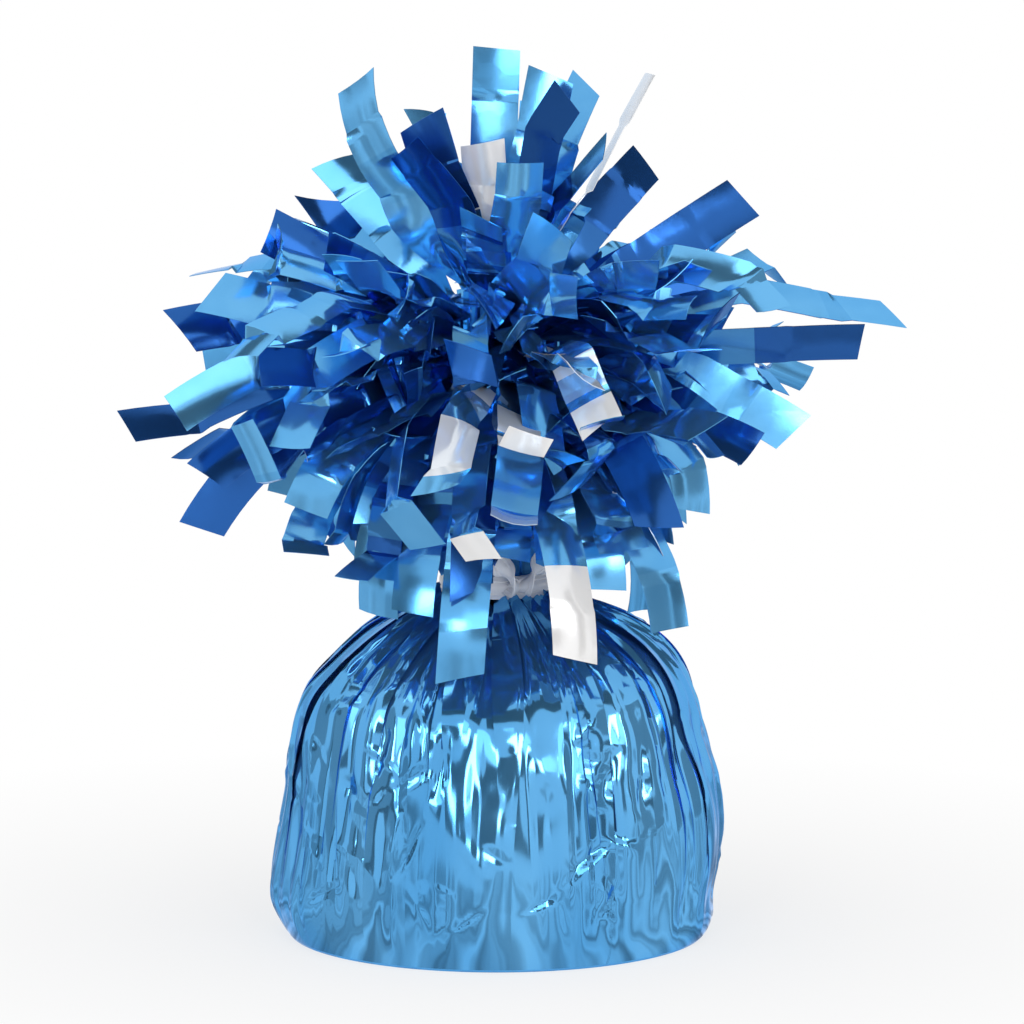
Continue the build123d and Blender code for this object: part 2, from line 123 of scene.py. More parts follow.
# Creases across a strip: where they lie along it, and how far they turn it
CREASE_SHARES = (0.50, 0.76)
CREASE_DRIFT = 0.08
CREASE_PITCH = 18.0
CREASE_SHARP = 36.0
CREASE_ROLL = 26.0
PLACED_CREASE = 0.5
CROWN_CREASE = 0.45

# Rows of strips up a panel: share of the panel's height at the root, elevation
# of the tip seen from the tuft's middle, reach of the tip, start lift, and the
# share of the creases that fold down and up.
SKIRT_ROWS = ((0.08, -42.0, 35.5, 40.0, 0.4, 0.0),
              (0.24, -33.0, 36.0, 36.0, 0.4, 0.0))
UPPER_ROWS = ((0.42, -14.0, 47.0, 26.0, 1.0, 0.0),
              (0.60, 3.0, 54.0, 20.0, 1.0, 1.0),
              (0.78, 20.0, 53.0, 14.0, 1.0, 1.0),
              (0.95, 38.0, 49.0, 10.0, 0.0, 1.0))
STRIP_ROWS = SKIRT_ROWS + UPPER_ROWS
COLUMN_TURNS = (-13.0, 0.0, 13.0)
STEEP_COLUMN_SHARE = 0.55

# Strips that stand out of the outline, by panel, row and column:
# turn from the panel's middle, elevation, reach, start lift and roll.
PLACED = {
    ("left", 0, 0): (-13.0, -44.0, 28.0, 38.0, 20.0),
    ("left", 0, 1): (0.0, -46.0, 28.5, 38.0, -35.0),
    ("left", 0, 2): (13.0, -43.0, 29.0, 38.0, 10.0),
    ("left", 1, 0): (-12.0, -35.0, 30.5, 36.0, -30.0),
    ("left", 1, 1): (0.0, -32.0, 37.0, 36.0, 74.0),
    ("left", 1, 2): (12.0, -34.0, 30.5, 36.0, 40.0),
    ("left", 2, 0): (-13.0, -17.0, 36.0, 24.0, -55.0),
    ("left", 2, 1): (0.0, -17.5, 49.0, 26.0, -65.0),
    ("left", 2, 2): (12.0, -6.0, 48.0, 24.0, -70.0),
    ("left", 3, 0): (-13.0, 11.0, 47.0, 10.0, -62.0),
    ("left", 3, 1): (0.0, 2.0, 58.5, 14.0, -10.0),
    ("left", 4, 0): (-9.0, 24.0, 43.0, 12.0, 46.0),
    ("left", 4, 1): (0.0, 17.0, 52.5, 12.0, -48.0),
    ("left", 4, 2): (8.0, 27.0, 52.0, 12.0, -70.0),
    ("left", 5, 1): (0.0, 41.0, 48.5, 2.0, -68.0),
    ("back_left", 0, 2): (13.0, -42.0, 29.0, 40.0, -42.0),
    ("back_left", 1, 2): (13.0, -33.0, 30.0, 36.0, 12.0),
    ("back_left", 2, 2): (13.0, -13.0, 42.0, 26.0, -30.0),
    ("back_left", 5, 1): (-2.0, 49.0, 53.0, 4.0, -50.0),
    ("front_left", 0, 0): (-13.0, -40.0, 31.0, 40.0, -38.0),
    ("front_left", 0, 1): (-2.0, -44.0, 37.5, 40.0, -8.0),
    ("front_left", 0, 2): (14.0, -42.0, 38.0, 40.0, 6.0),
    ("front_left", 1, 0): (-13.0, -33.0, 30.0, 36.0, 16.0),
    ("front_left", 2, 0): (-13.0, -13.0, 39.0, 26.0, -26.0),
    ("front_left", 2, 1): (0.0, 0.0, 45.0, 22.0, 30.0),
    ("front", 0, 0): (-14.0, -44.5, 48.0, 42.0, 4.0),
    ("front", 0, 2): (14.0, -41.5, 46.5, 42.0, -6.0),
    ("front_right", 0, 1): (-5.0, -36.0, 46.5, 38.0, 18.0),
    ("front_right", 1, 2): (12.0, -33.0, 31.0, 34.0, -36.0),
    ("front_right", 2, 0): (-13.0, -13.0, 42.0, 26.0, 28.0),
    ("front_right", 2, 1): (0.0, -6.0, 34.0, 22.0, -24.0),
    ("front_right", 2, 2): (13.0, -19.0, 35.0, 26.0, -42.0),
    ("front_right", 3, 1): (0.0, 1.0, 44.0, 20.0, -10.0),
    ("front_right", 3, 2): (11.0, 1.0, 45.0, 22.0, 52.0),
    ("right", 0, 0): (-13.0, -43.0, 29.0, 38.0, 25.0),
    ("right", 0, 1): (0.0, -45.0, 30.0, 38.0, -50.0),
    ("right", 0, 2): (13.0, -44.0, 28.0, 38.0, -20.0),
    ("right", 1, 0): (-12.0, -34.0, 30.0, 34.0, -45.0),
    ("right", 1, 1): (0.0, -33.0, 31.0, 34.0, 60.0),
    ("right", 1, 2): (12.0, -35.0, 29.5, 34.0, 40.0),
    ("right", 2, 0): (-12.0, -22.0, 33.0, 30.0, 50.0),
    ("right", 2, 1): (0.0, -24.0, 31.5, 30.0, 66.0),
    ("right", 2, 2): (12.0, -17.0, 34.0, 28.0, -30.0),
    ("right", 3, 0): (-12.0, 1.0, 47.0, 14.0, 66.0),
    ("right", 3, 1): (0.0, 9.0, 45.5, 16.0, 58.0),
    ("right", 4, 0): (-8.0, 13.5, 59.0, 5.0, -62.0),
    ("right", 4, 1): (0.0, 15.0, 65.0, 7.0, 30.0),
    ("right", 4, 2): (9.0, 31.0, 55.5, 8.0, 48.0),
    ("right", 5, 0): (-6.0, 37.0, 43.0, 6.0, 40.0),
    ("right", 5, 1): (0.0, 43.0, 53.5, 2.0, 66.0),
    ("back_right", 2, 0): (-12.0, -13.0, 39.0, 28.0, -35.0),
    ("back_right", 3, 2): (12.5, 9.0, 53.0, 20.0, -30.0),
    ("back_right", 5, 1): (0.0, 46.0, 55.0, 8.0, 40.0),
}

# Crown strips: azimuth, elevation, reach, start lift and roll.
CROWN_STRIPS = (
    (184.0, 68.0, 60.0, -36.0, 66.0),
    (215.0, 74.0, 52.0, 6.0, 40.0),
    (160.0, 77.0, 50.0, 5.0, 25.0),
    (250.0, 82.0, 47.0, 4.0, 10.0),
    (95.0, 86.0, 60.0, 3.0, 0.0),
    (20.0, 81.0, 57.0, 3.0, 55.0),
    (-3.0, 77.0, 54.5, 4.0, 56.0),
    (40.0, 71.0, 57.0, 6.0, 30.0),
    (12.0, 68.5, 61.5, 3.0, -12.0),
    (-26.0, 70.0, 50.0, 5.0, 36.0),
    (-75.0, 72.0, 46.0, 6.0, -15.0),
    (130.0, 69.0, 53.0, 6.0, 20.0),
    (70.0, 69.0, 54.0, 6.0, -25.0),
    (-140.0, 68.0, 50.0, 6.0, 30.0),
)

# Shorter strips that fill each panel and the crown: middle and spread of their
# root's share, turn, elevation, reach, start lift and roll.
FILLERS = 10
FILLER_SHARE = (0.70, 0.25)
FILLER_TURN = 15.0
FILLER_ELEVATION = (20.0, 24.0, 6.0)
FILLER_REACH = (36.0, 7.0)
FILLER_LIFT = (18.0, 10.0)
FILLER_ROLL = 75.0
CROWN_FILLERS = 8
CROWN_FILLER_ELEVATION = (78.0, 5.0)
CROWN_FILLER_REACH = (38.0, 5.0)
CROWN_FILLER_LIFT = 10.0

GOLDEN = (math.sqrt(5.0) - 1.0) / 2.0
ELEVATION_SPREAD = 4.0
REACH_SPREAD = 3.5
ROLL_SPREAD = 48.0

UP = np.array((0.0, 0.0, 1.0))


# Settings that a user would change
class WeightBody(bpy.types.PropertyGroup):
    """Film wrap round the sand."""
    pleats: IntProperty(name="Pleats", description="Pleats gathered at the neck", default=27, min=12, max=60)
    rows: IntProperty(name="Rows", description="Mesh rows from the foot's edge to the neck",
                      default=170, min=40)
    relief: FloatProperty(name="Crease height", description="Height of the creases in the film",
                          default=0.34 * MM, min=0.0, subtype="DISTANCE", unit="LENGTH", precision=5)
    film: FloatProperty(name="Film thickness", description="Thickness of the wrap's film", default=0.16 * MM,
                        min=0.02 * MM, subtype="DISTANCE", unit="LENGTH", precision=5)


class WeightTuft(bpy.types.PropertyGroup):
    """Strips of the tuft."""
    strip_width: FloatProperty(name="Strip width", description="Width of a cut strip", default=7.5 * MM,
                               min=1.0 * MM, subtype="DISTANCE", unit="LENGTH", precision=4)
    root_width: FloatProperty(name="Root width", description="Width of a strip where it is gathered",
                              default=2.3 * MM, min=0.5 * MM, subtype="DISTANCE", unit="LENGTH", precision=4)
    film: FloatProperty(name="Film thickness", description="Thickness of a strip's film", default=0.12 * MM,
                        min=0.02 * MM, subtype="DISTANCE", unit="LENGTH", precision=5)
    kink: FloatProperty(name="Kink", description="Largest turn at a crease across a strip",
                        default=math.radians(20.0), min=0.0, subtype="ANGLE", unit="ROTATION")
    curl: FloatProperty(name="Curl", description="Largest arch across a strip's width", default=0.7 * MM,
                        min=0.0, subtype="DISTANCE", unit="LENGTH", precision=4)
    folded: FloatProperty(name="Folded share", description="Share of the strips with one strong fold",
                          default=0.45, min=0.0, max=1.0, subtype="FACTOR")
    crown_bits: IntProperty(name="Crown bits", description="Loose short strips inside the crown",
                            default=6, min=0)
    bits: IntProperty(name="Short bits", description="Loose short strips inside each panel", default=3, min=0)


class WeightFinish(bpy.types.PropertyGroup):
    """Colours of the pieces."""
    foil: FloatVectorProperty(name="Foil", description="Tint of the metallised film", subtype="COLOR", size=4,
                              default=(0.155, 0.49, 0.86, 1.0), min=0.0, max=1.0)
    # Darker end of the foil's tint: random patches of the film, and on the strips painted shade of facets
    # that mirror darker surroundings
    foil_deep_and_shade: FloatVectorProperty(name="Deep foil", description="Tint where the lacquer is thicker",
                                   subtype="COLOR", size=4, default=(0.065, 0.325, 0.69, 1.0),
                                   min=0.0, max=1.0)
    # Painted dark reflection: the deep navy of strips that mirror dark surroundings
    foil_painted_dark: FloatVectorProperty(name="Navy foil", description="Tint of the darkest strips",
                                   subtype="COLOR", size=4, default=(0.020, 0.115, 0.41, 1.0),
                                   min=0.0, max=1.0)
    # Painted white highlight, drawn as the film's bare side: the colour of the white tips and the silver
    # crown strips
    foil_painted_white: FloatVectorProperty(name="Foil back", description="Colour of the film's unprinted side",
                                   subtype="COLOR", size=4, default=(0.94, 0.925, 0.91, 1.0),
                                   min=0.0, max=1.0)
    sand: FloatVectorProperty(name="Sand", description="Colour of the sand", subtype="COLOR", size=4,
                              default=(0.70, 0.58, 0.40, 1.0), min=0.0, max=1.0)
    tie: FloatVectorProperty(name="Tie", description="Colour of the twist tie", subtype="COLOR", size=4,
                             default=(0.98, 0.97, 0.97, 1.0), min=0.0, max=1.0)


class WeightStage(bpy.types.PropertyGroup):
    """Camera, floor and light."""
    lens: FloatProperty(name="Lens", description="Focal length of the camera", default=300.0, unit="CAMERA")
    distance: FloatProperty(name="Distance", description="Camera distance from its aim", default=1.3475,
                            subtype="DISTANCE", unit="LENGTH")
    elevation: FloatProperty(name="Elevation", description="Camera height above the horizon",
                             default=math.radians(9.0), subtype="ANGLE", unit="ROTATION")
    aim: FloatVectorProperty(name="Aim", description="Point that the camera looks at", size=3,
                             default=(0.0024, 0.0, 0.0672), subtype="TRANSLATION", unit="LENGTH")
    fill: FloatProperty(name="Room light", description="Strength of the light from all round",
                        default=0.62, min=0.0)


# Meshes from grids of points
def grid_quads(index):
    """Quads between neighbours of a grid of vertex numbers."""
    return np.stack([index[:-1, :-1], index[1:, :-1], index[1:, 1:], index[:-1, 1:]], axis=-1).reshape(-1, 4)


def grid_normals(points, joined):
    """Unit normals of a grid of points whose columns may be joined round."""
    along = np.gradient(points, axis=0)
    if joined:
        across = np.roll(points, -1, axis=1) - np.roll(points, 1, axis=1)
    else:
        across = np.gradient(points, axis=1)
    normal = np.cross(along, across)
    return normal / np.maximum(np.linalg.norm(normal, axis=-1, keepdims=True), 1e-9)


class Solid:
    """Vertices and faces of one piece, gathered from several closed forms."""

    def __init__(self):
        self.points = []
        self.faces = []
        self.tones = []
        self.count = 0

    def add(self, points, faces, tone=0.5):
        points = np.asarray(points, float).reshape(-1, 3)
        self.points.append(points)
        self.faces.extend([tuple(int(i) + self.count for i in face) for face in faces])
        self.tones.extend(np.broadcast_to(tone, len(faces)).tolist())
        self.count += len(points)

    def add_film(self, grid, film, joined=False, capped=False, tone=0.5):
        """A closed film about a grid of points, in one tone or in one for each row."""
        rows, columns = grid.shape[:2]
        skin = grid_normals(grid, joined) * (film / 2.0)
        total = rows * columns
        index = np.arange(total).reshape(rows, columns)
        if joined:
            index = np.concatenate([index, index[:, :1]], axis=1)
        faces = grid_quads(index).tolist() + (grid_quads(index)[:, ::-1] + total).tolist()
        first, last = index[0], index[-1]
        if capped:
            faces += [tuple(first[:-1][::-1]), tuple(first[:-1] + total)]
        else:
            faces += np.stack([first[:-1], first[1:], first[1:] + total, first[:-1] + total], axis=1).tolist()
        faces += np.stack([last[1:], last[:-1], last[:-1] + total, last[1:] + total], axis=1).tolist()
        if not joined:
            left, right = index[:, 0], index[:, -1]
            faces += np.stack([left[1:], left[:-1], left[:-1] + total, left[1:] + total], axis=1).tolist()
            faces += np.stack([right[:-1], right[1:], right[1:] + total, right[:-1] + total], axis=1).tolist()
        if np.ndim(tone):
            tone = tone[[min(face) % total // columns for face in faces]]
        self.add(np.concatenate([(grid + skin).reshape(-1, 3), (grid - skin).reshape(-1, 3)]), faces, tone)

    def add_column(self, rings, tone=0.5):
        """A closed solid through rings of points that run anticlockwise, from low to high."""
        rows, columns = rings.shape[:2]
        index = np.arange(rows * columns).reshape(rows, columns)
        around = np.concatenate([index, index[:, :1]], axis=1)
        faces = grid_quads(around)[:, ::-1].tolist()
        faces += [tuple(index[0][::-1]), tuple(index[-1])]
        self.add(rings, faces, tone)

    def add_hoop(self, rings, tone=0.5):
        """A closed tube through rings that come back to the first one."""
        rows, columns = rings.shape[:2]
        index = np.arange(rows * columns).reshape(rows, columns)
        index = np.concatenate([index, index[:, :1]], axis=1)
        index = np.concatenate([index, index[:1]], axis=0)
        self.add(rings, grid_quads(index)[:, ::-1].tolist(), tone)

    def piece(self, name, material, slot, nodes, sharp=35.0):
        """The finished object, in metres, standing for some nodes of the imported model."""
        mesh = bpy.data.meshes.new(name)
        mesh.from_pydata((np.concatenate(self.points) * MM).tolist(), [], self.faces)
        if mesh.validate(verbose=False):
            raise RuntimeError(name + ": the mesh has faulty faces")
        tone = mesh.attributes.new("foil_reflection_tone", "FLOAT", "FACE")
        tone.data.foreach_set("value", np.asarray(self.tones, np.float32))
        mesh.shade_smooth()
        mesh.set_sharp_from_angle(angle=math.radians(sharp))
        mesh.materials.append(material)
        made = bpy.data.objects.new(name, mesh)
        bpy.context.scene.collection.objects.link(made)
        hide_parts(*nodes)
        return made


# Materials
def new_material(name):
    """An empty node material with its surface shader."""
    material = bpy.data.materials.get(name) or bpy.data.materials.new(name)
    material.use_nodes = True
    tree = material.node_tree
    tree.nodes.clear()
    output = tree.nodes.new("ShaderNodeOutputMaterial")
    shader = tree.nodes.new("ShaderNodeBsdfPrincipled")
    tree.links.new(shader.outputs["BSDF"], output.inputs["Surface"])
    return material, tree, shader


def add_node(tree, kind, **values):
    """A node with values set on its inputs, or links made to them."""
    node = tree.nodes.new(kind)
    for name, value in values.items():
        socket = node.inputs[name.replace("_", " ")]
        if isinstance(value, bpy.types.NodeSocket):
            tree.links.new(value, socket)
        else:
            socket.default_value = value
    return node


def object_place(tree, scale=(1.0, 1.0, 1.0)):
    """Coordinates that stay on the piece, stretched along its axes."""
    place = add_node(tree, "ShaderNodeTexCoord")
    return add_node(tree, "ShaderNodeMapping", Vector=place.outputs["Object"], Scale=scale).outputs["Vector"]


def ramp(tree, value, low, high, start=0.3, end=0.7):
    """Two colours blended by a value."""
    node = add_node(tree, "ShaderNodeValToRGB", Fac=value)
    node.color_ramp.elements[0].position = start
    node.color_ramp.elements[0].color = low
    node.color_ramp.elements[1].position = end
    node.color_ramp.elements[1].color = high
    return node.outputs["Color"]


def mapped(tree, value, start, end, low, high):
    """A value mapped from one range onto another."""
    node = add_node(tree, "ShaderNodeMapRange", Value=value, From_Min=start, From_Max=end,
                    To_Min=low, To_Max=high)
    return node.outputs["Result"]


def spread(tree, value, low, high):
    """A value from 0 to 1 mapped onto a range."""
    return mapped(tree, value, 0.0, 1.0, low, high)


def within(tree, value, start, end):
    """Nought at the start of a range of values and one at its end."""
    return mapped(tree, value, start, end, 0.0, 1.0)


def reckoned(tree, operation, *values):
    """The result of one operation on numbers and sockets."""
    node = tree.nodes.new("ShaderNodeMath")
    node.operation = operation
    for socket, value in zip(node.inputs, values):
        if isinstance(value, bpy.types.NodeSocket):
            tree.links.new(value, socket)
        else:
            socket.default_value = value
    return node.outputs["Value"]


def shader_mix(tree, share, first, second):
    """The first shader, giving way to the second one."""
    node = add_node(tree, "ShaderNodeMixShader", Fac=share)
    tree.links.new(first, node.inputs[1])
    tree.links.new(second, node.inputs[2])
    return node.outputs["Shader"]


def mixed(tree, share, first, second):
    """The first colour, giving way to the second one."""
    node = tree.nodes.new("ShaderNodeMix")
    node.data_type = "RGBA"
    tree.links.new(share, node.inputs[0])
    tree.links.new(first, node.inputs[6])
    node.inputs[7].default_value = second
    return node.outputs[2]


def bump(tree, height, strength, distance, under=None):
    node = add_node(tree, "ShaderNodeBump", Height=height, Strength=strength, Distance=distance)
    if under is not None:
        tree.links.new(under, node.inputs["Normal"])
    return node.outputs["Normal"]


# Tones at which a strip turns to painted dark reflection or to a painted white highlight,
# and how metallic the printed foil and the painted white highlight are
TURNS_PAINTED_DARK = (0.40, 0.28)
TURNS_PAINTED_WHITE = (1.4, 1.6)
PRINTED_METAL, PAINTED_WHITE_METAL = 0.84, 0.30
REFLECTION_TONE_SHARE = 0.6
TINT_SHIFT = 0.3
FOIL_SHEEN = (0.35, 0.62, 0.95, 1.0)
FOIL_COAT = 0.12
FOIL_COAT_HAZE = 0.12


def foil_material(name, finish, stretch, crinkle, haze):
    """Metallised film: a tinted mirror with fine crinkles, drawn out along the stretch."""
    material, tree, shader = new_material(name)
    place = object_place(tree, stretch)
    shader.inputs["Specular Tint"].default_value = FOIL_SHEEN
    shader.inputs["Coat Weight"].default_value = FOIL_COAT
    shader.inputs["Coat Roughness"].default_value = FOIL_COAT_HAZE
    tint = add_node(tree, "ShaderNodeTexNoise", Vector=place, Scale=55.0, Detail=3.0, Roughness=0.6)
    # Each face's tone attribute paints reflection: it darkens or lightens the tint, turns low tones to
    # painted dark and high tones to a painted white highlight
    own = add_node(tree, "ShaderNodeAttribute")
    own.attribute_name = "foil_reflection_tone"
    shifted = reckoned(tree, "SUBTRACT", tint.outputs["Fac"], TINT_SHIFT)
    both = reckoned(tree, "MULTIPLY_ADD", own.outputs["Fac"], REFLECTION_TONE_SHARE, shifted)
    colour = ramp(tree, both, finish.foil_deep_and_shade, finish.foil, 0.2, 0.8)
    colour = mixed(tree, within(tree, own.outputs["Fac"], *TURNS_PAINTED_DARK), colour, finish.foil_painted_dark)
    # Tones past one turn to the painted white highlight, less metallic
    painted_white_share = within(tree, own.outputs["Fac"], *TURNS_PAINTED_WHITE)
    colour = mixed(tree, painted_white_share, colour, finish.foil_painted_white)
    tree.links.new(colour, shader.inputs["Base Color"])
    tree.links.new(spread(tree, painted_white_share, PRINTED_METAL, PAINTED_WHITE_METAL), shader.inputs["Metallic"])
    smear = add_node(tree, "ShaderNodeTexNoise", Vector=place, Scale=130.0, Detail=4.0, Roughness=0.55)
    tree.links.new(spread(tree, smear.outputs["Fac"], haze * 0.4, haze * 1.6), shader.inputs["Roughness"])
    cells = add_node(tree, "ShaderNodeTexVoronoi", Vector=place, Scale=230.0, Randomness=1.0)
    cells.feature = "F1"
    fine = add_node(tree, "ShaderNodeTexNoise", Vector=place, Scale=520.0, Detail=2.0, Roughness=0.5)
    folds = bump(tree, cells.outputs["Distance"], crinkle, 0.2 * MM)
    tree.links.new(bump(tree, fine.outputs["Fac"], crinkle * 0.6, 0.08 * MM, folds), shader.inputs["Normal"])
    return material


def sand_material(finish):
    material, tree, shader = new_material("dry_sand")
    place = object_place(tree)
    grains = add_node(tree, "ShaderNodeTexVoronoi", Vector=place, Scale=1800.0, Randomness=1.0)
    patch = add_node(tree, "ShaderNodeTexNoise", Vector=place, Scale=240.0, Detail=4.0)
    dark = [channel * 0.62 for channel in finish.sand[:3]] + [1.0]
    tree.links.new(ramp(tree, patch.outputs["Fac"], dark, finish.sand), shader.inputs["Base Color"])
    shader.inputs["Roughness"].default_value = 0.92
    tree.links.new(bump(tree, grains.outputs["Distance"], 0.8, 0.3 * MM), shader.inputs["Normal"])
    return material


def bag_material():
    material, tree, shader = new_material("clear_bag_film")
    place = object_place(tree)
    haze = add_node(tree, "ShaderNodeTexNoise", Vector=place, Scale=180.0, Detail=4.0)
    tree.links.new(spread(tree, haze.outputs["Fac"], 0.10, 0.32), shader.inputs["Roughness"])
    tree.links.new(ramp(tree, haze.outputs["Fac"], (0.80, 0.83, 0.84, 1.0), (0.90, 0.92, 0.92, 1.0)),
                   shader.inputs["Base Color"])
    shader.inputs["Transmission Weight"].default_value = 0.7
    shader.inputs["IOR"].default_value = 1.49
    crinkle = add_node(tree, "ShaderNodeTexVoronoi", Vector=place, Scale=300.0)
    tree.links.new(bump(tree, crinkle.outputs["Distance"], 0.4, 0.2 * MM), shader.inputs["Normal"])
    return material


def band_material():
    material, tree, shader = new_material("elastic_band")
    place = object_place(tree)
    patch = add_node(tree, "ShaderNodeTexNoise", Vector=place, Scale=420.0, Detail=3.0)
    tree.links.new(ramp(tree, patch.outputs["Fac"], (0.50, 0.34, 0.17, 1.0), (0.68, 0.50, 0.29, 1.0)),
                   shader.inputs["Base Color"])
    tree.links.new(spread(tree, patch.outputs["Fac"], 0.45, 0.62), shader.inputs["Roughness"])
    tree.links.new(bump(tree, patch.outputs["Fac"], 0.2, 0.1 * MM), shader.inputs["Normal"])
    return material


def tie_material(finish):
    material, tree, shader = new_material("white_tie_film")
    place = object_place(tree)
    patch = add_node(tree, "ShaderNodeTexNoise", Vector=place, Scale=260.0, Detail=4.0)
    dull = [channel * 0.92 for channel in finish.tie[:3]] + [1.0]
    tree.links.new(ramp(tree, patch.outputs["Fac"], dull, finish.tie), shader.inputs["Base Color"])
    tree.links.new(spread(tree, patch.outputs["Fac"], 0.28, 0.46), shader.inputs["Roughness"])
    tree.links.new(bump(tree, patch.outputs["Fac"], 0.15, 0.1 * MM), shader.inputs["Normal"])
    return material


def wire_material():
    material, tree, shader = new_material("tie_wire_steel")
    place = object_place(tree)
    drawn = add_node(tree, "ShaderNodeTexNoise", Vector=place, Scale=900.0, Detail=3.0)
    shader.inputs["Metallic"].default_value = 1.0
    tree.links.new(ramp(tree, drawn.outputs["Fac"], (0.42, 0.42, 0.44, 1.0), (0.60, 0.60, 0.61, 1.0)),
                   shader.inputs["Base Color"])
    tree.links.new(spread(tree, drawn.outputs["Fac"], 0.25, 0.45), shader.inputs["Roughness"])
    tree.links.new(bump(tree, drawn.outputs["Fac"], 0.1, 0.05 * MM), shader.inputs["Normal"])
    return material


def tuft_foil(context):
    return foil_material("tuft_foil", context.scene.weight_finish, (1.0, 1.0, 1.0), 0.10, 0.15)


# Profile of the wrapped body: where its rounding starts, the height over which it grows,
# and the height over which it fades at the neck
ROUND_FROM = 8.0
ROUND_GROWTH = 10.0
ROUND_FADE = 5.0


def wrap_radius(z):
    """The body's radius at a height: a turned-in foot, a flank and a shoulder up to the neck."""
    low = np.clip(1.0 - z / BELLY_HEIGHT, 0.0, 1.0)
    flank = np.clip((z - BELLY_HEIGHT) / (SHOULDER_HEIGHT - BELLY_HEIGHT), 0.0, 1.0)
    over = np.clip((z - SHOULDER_HEIGHT) / (NECK_HEIGHT - SHOULDER_HEIGHT), 0.0, 1.0)
    return (BELLY_RADIUS - (BELLY_RADIUS - FOOT_RADIUS) * low ** EDGE_POWER
            - (BELLY_RADIUS - SHOULDER_RADIUS) * flank ** FLANK_POWER
            - (SHOULDER_RADIUS - NECK_RADIUS) * over ** SHOULDER_POWER)


def film_radius(z):
    """The body's radius with its shoulder rounded off, for evenly spaced heights."""
    step = z[1] - z[0]
    reach = np.arange(-3.0 * ROUNDING, 3.0 * ROUNDING + step, step)
    weight = np.exp(-(reach / ROUNDING) ** 2 / 2.0)
    sharp = wrap_radius(z)
    padded = np.pad(sharp, len(reach) // 2, mode="reflect", reflect_type="odd")
    rounded = np.convolve(padded, weight / weight.sum(), mode="valid")[:len(z)]
    share = smooth((z - ROUND_FROM) / ROUND_GROWTH) * smooth((NECK_HEIGHT - z) / ROUND_FADE)
    return sharp + (rounded - sharp) * share


def pleat_depth(z):
    return PLEAT_DEPTH * np.clip((z - BELLY_HEIGHT) / (NECK_HEIGHT - BELLY_HEIGHT), 0.0, 1.0) ** PLEAT_POWER


def cavity_radius(z):
    return wrap_radius(z) - pleat_depth(z) / 2.0 - WRAP_WALL


def even_profile(radius, height, rows):
    """Points spaced evenly along a profile: radius, height and way from its start."""
    way = np.concatenate([[0.0], np.cumsum(np.hypot(np.diff(radius), np.diff(height)))])
    at = np.linspace(0.0, way[-1], rows)
    return np.interp(at, way, radius), np.interp(at, way, height), at


def smooth(x):
    """A soft step from nought to one."""
    x = np.clip(x, 0.0, 1.0)
    return x * x * (3.0 - 2.0 * x)


def full_turn(steps):
    """Angles spaced evenly round a circle."""
    return np.linspace(0.0, 2.0 * math.pi, steps + 1)[:-1]


def round_points(radius, angle, height):
    """Points at a radius, angle and height about the upright axis."""
    return np.stack([radius * np.cos(angle), radius * np.sin(angle), height], axis=-1)


def turned_away(angle):
    """An angle brought to the half turn either side of zero."""
    return (angle + math.pi) % (2.0 * math.pi) - math.pi


def crease_sum(angle, way, rng, count, width, length, height, slant, low, high):
    """Sharp-backed creases strewn over the body: sizes in millimetres of arc and way."""
    total = np.zeros_like(angle)
    for _ in range(count):
        turn = rng.uniform(-math.pi, math.pi)
        middle = rng.uniform(low, high)
        half = rng.uniform(*width)
        reach = rng.uniform(*length)
        lean = math.radians(rng.uniform(-slant, slant))
        size = rng.uniform(*height) * rng.choice((-1.0, 1.0))
        side = turned_away(angle - turn) * SHOULDER_RADIUS
        rise = way - middle
        across = side * math.cos(lean) + rise * math.sin(lean)
        along = rise * math.cos(lean) - side * math.sin(lean)
        window = np.clip(1.0 - (along / reach) ** 2, 0.0, 1.0) ** 2
        total += size * np.clip(1.0 - np.abs(across) / half, 0.0, 1.0) * window
    return total


def facet_field(angle, way, rng, count, wide, tall, tilt):
    """Flat crumple facets with sharp ridges: the upper envelope of tilted caps."""
    turns = rng.uniform(-math.pi, math.pi, count)
    middles = rng.uniform(-tall, way.max() + tall, count)
    leans = rng.normal(0.0, tilt, (count, 2))
    field = np.empty_like(angle)
    for row in range(len(angle)):
        side = turned_away(angle[row][:, None] - turns) * SHOULDER_RADIUS
        rise = way[row][:, None] - middles
        bowl = tilt * ((side / wide) ** 2 + (rise / tall) ** 2) * wide
        field[row] = (leans[:, 0] * side + leans[:, 1] * rise - bowl).max(axis=1)
    return field - field.mean()


# Wandering creases: waves along each, spread of gaps, stray as a share of a gap, and spread of heights
CREASE_WAVES = 3
CREASE_GAPS = (0.35, 1.65)
CREASE_STRAY = 0.16
CREASE_SIZES = (0.4, 1.3)


def creased_film(angle, way, rng, count, short, long):
    """Flat facets between creases that wander up the side, with waves along them."""
    gaps = np.cumsum(rng.uniform(*CREASE_GAPS, count))
    homes = 2.0 * math.pi * gaps / gaps[-1]
    stray = 2.0 * math.pi / count * CREASE_STRAY
    phases = rng.uniform(0.0, 2.0 * math.pi, (count, CREASE_WAVES))
    lengths = rng.uniform(short, long, (count, CREASE_WAVES))
    sizes = rng.uniform(*CREASE_SIZES, (count, CREASE_WAVES)) * (lengths / long) ** 0.6
    field = np.empty_like(angle)
    for row, at in enumerate(way):
        knots = homes + stray * np.sin(at / lengths[:, 0] + phases[:, 1])
        level = (sizes * np.sin(at / lengths + phases)).sum(axis=1)
        field[row] = np.interp(angle[row], knots, level, period=2.0 * math.pi)
    return field


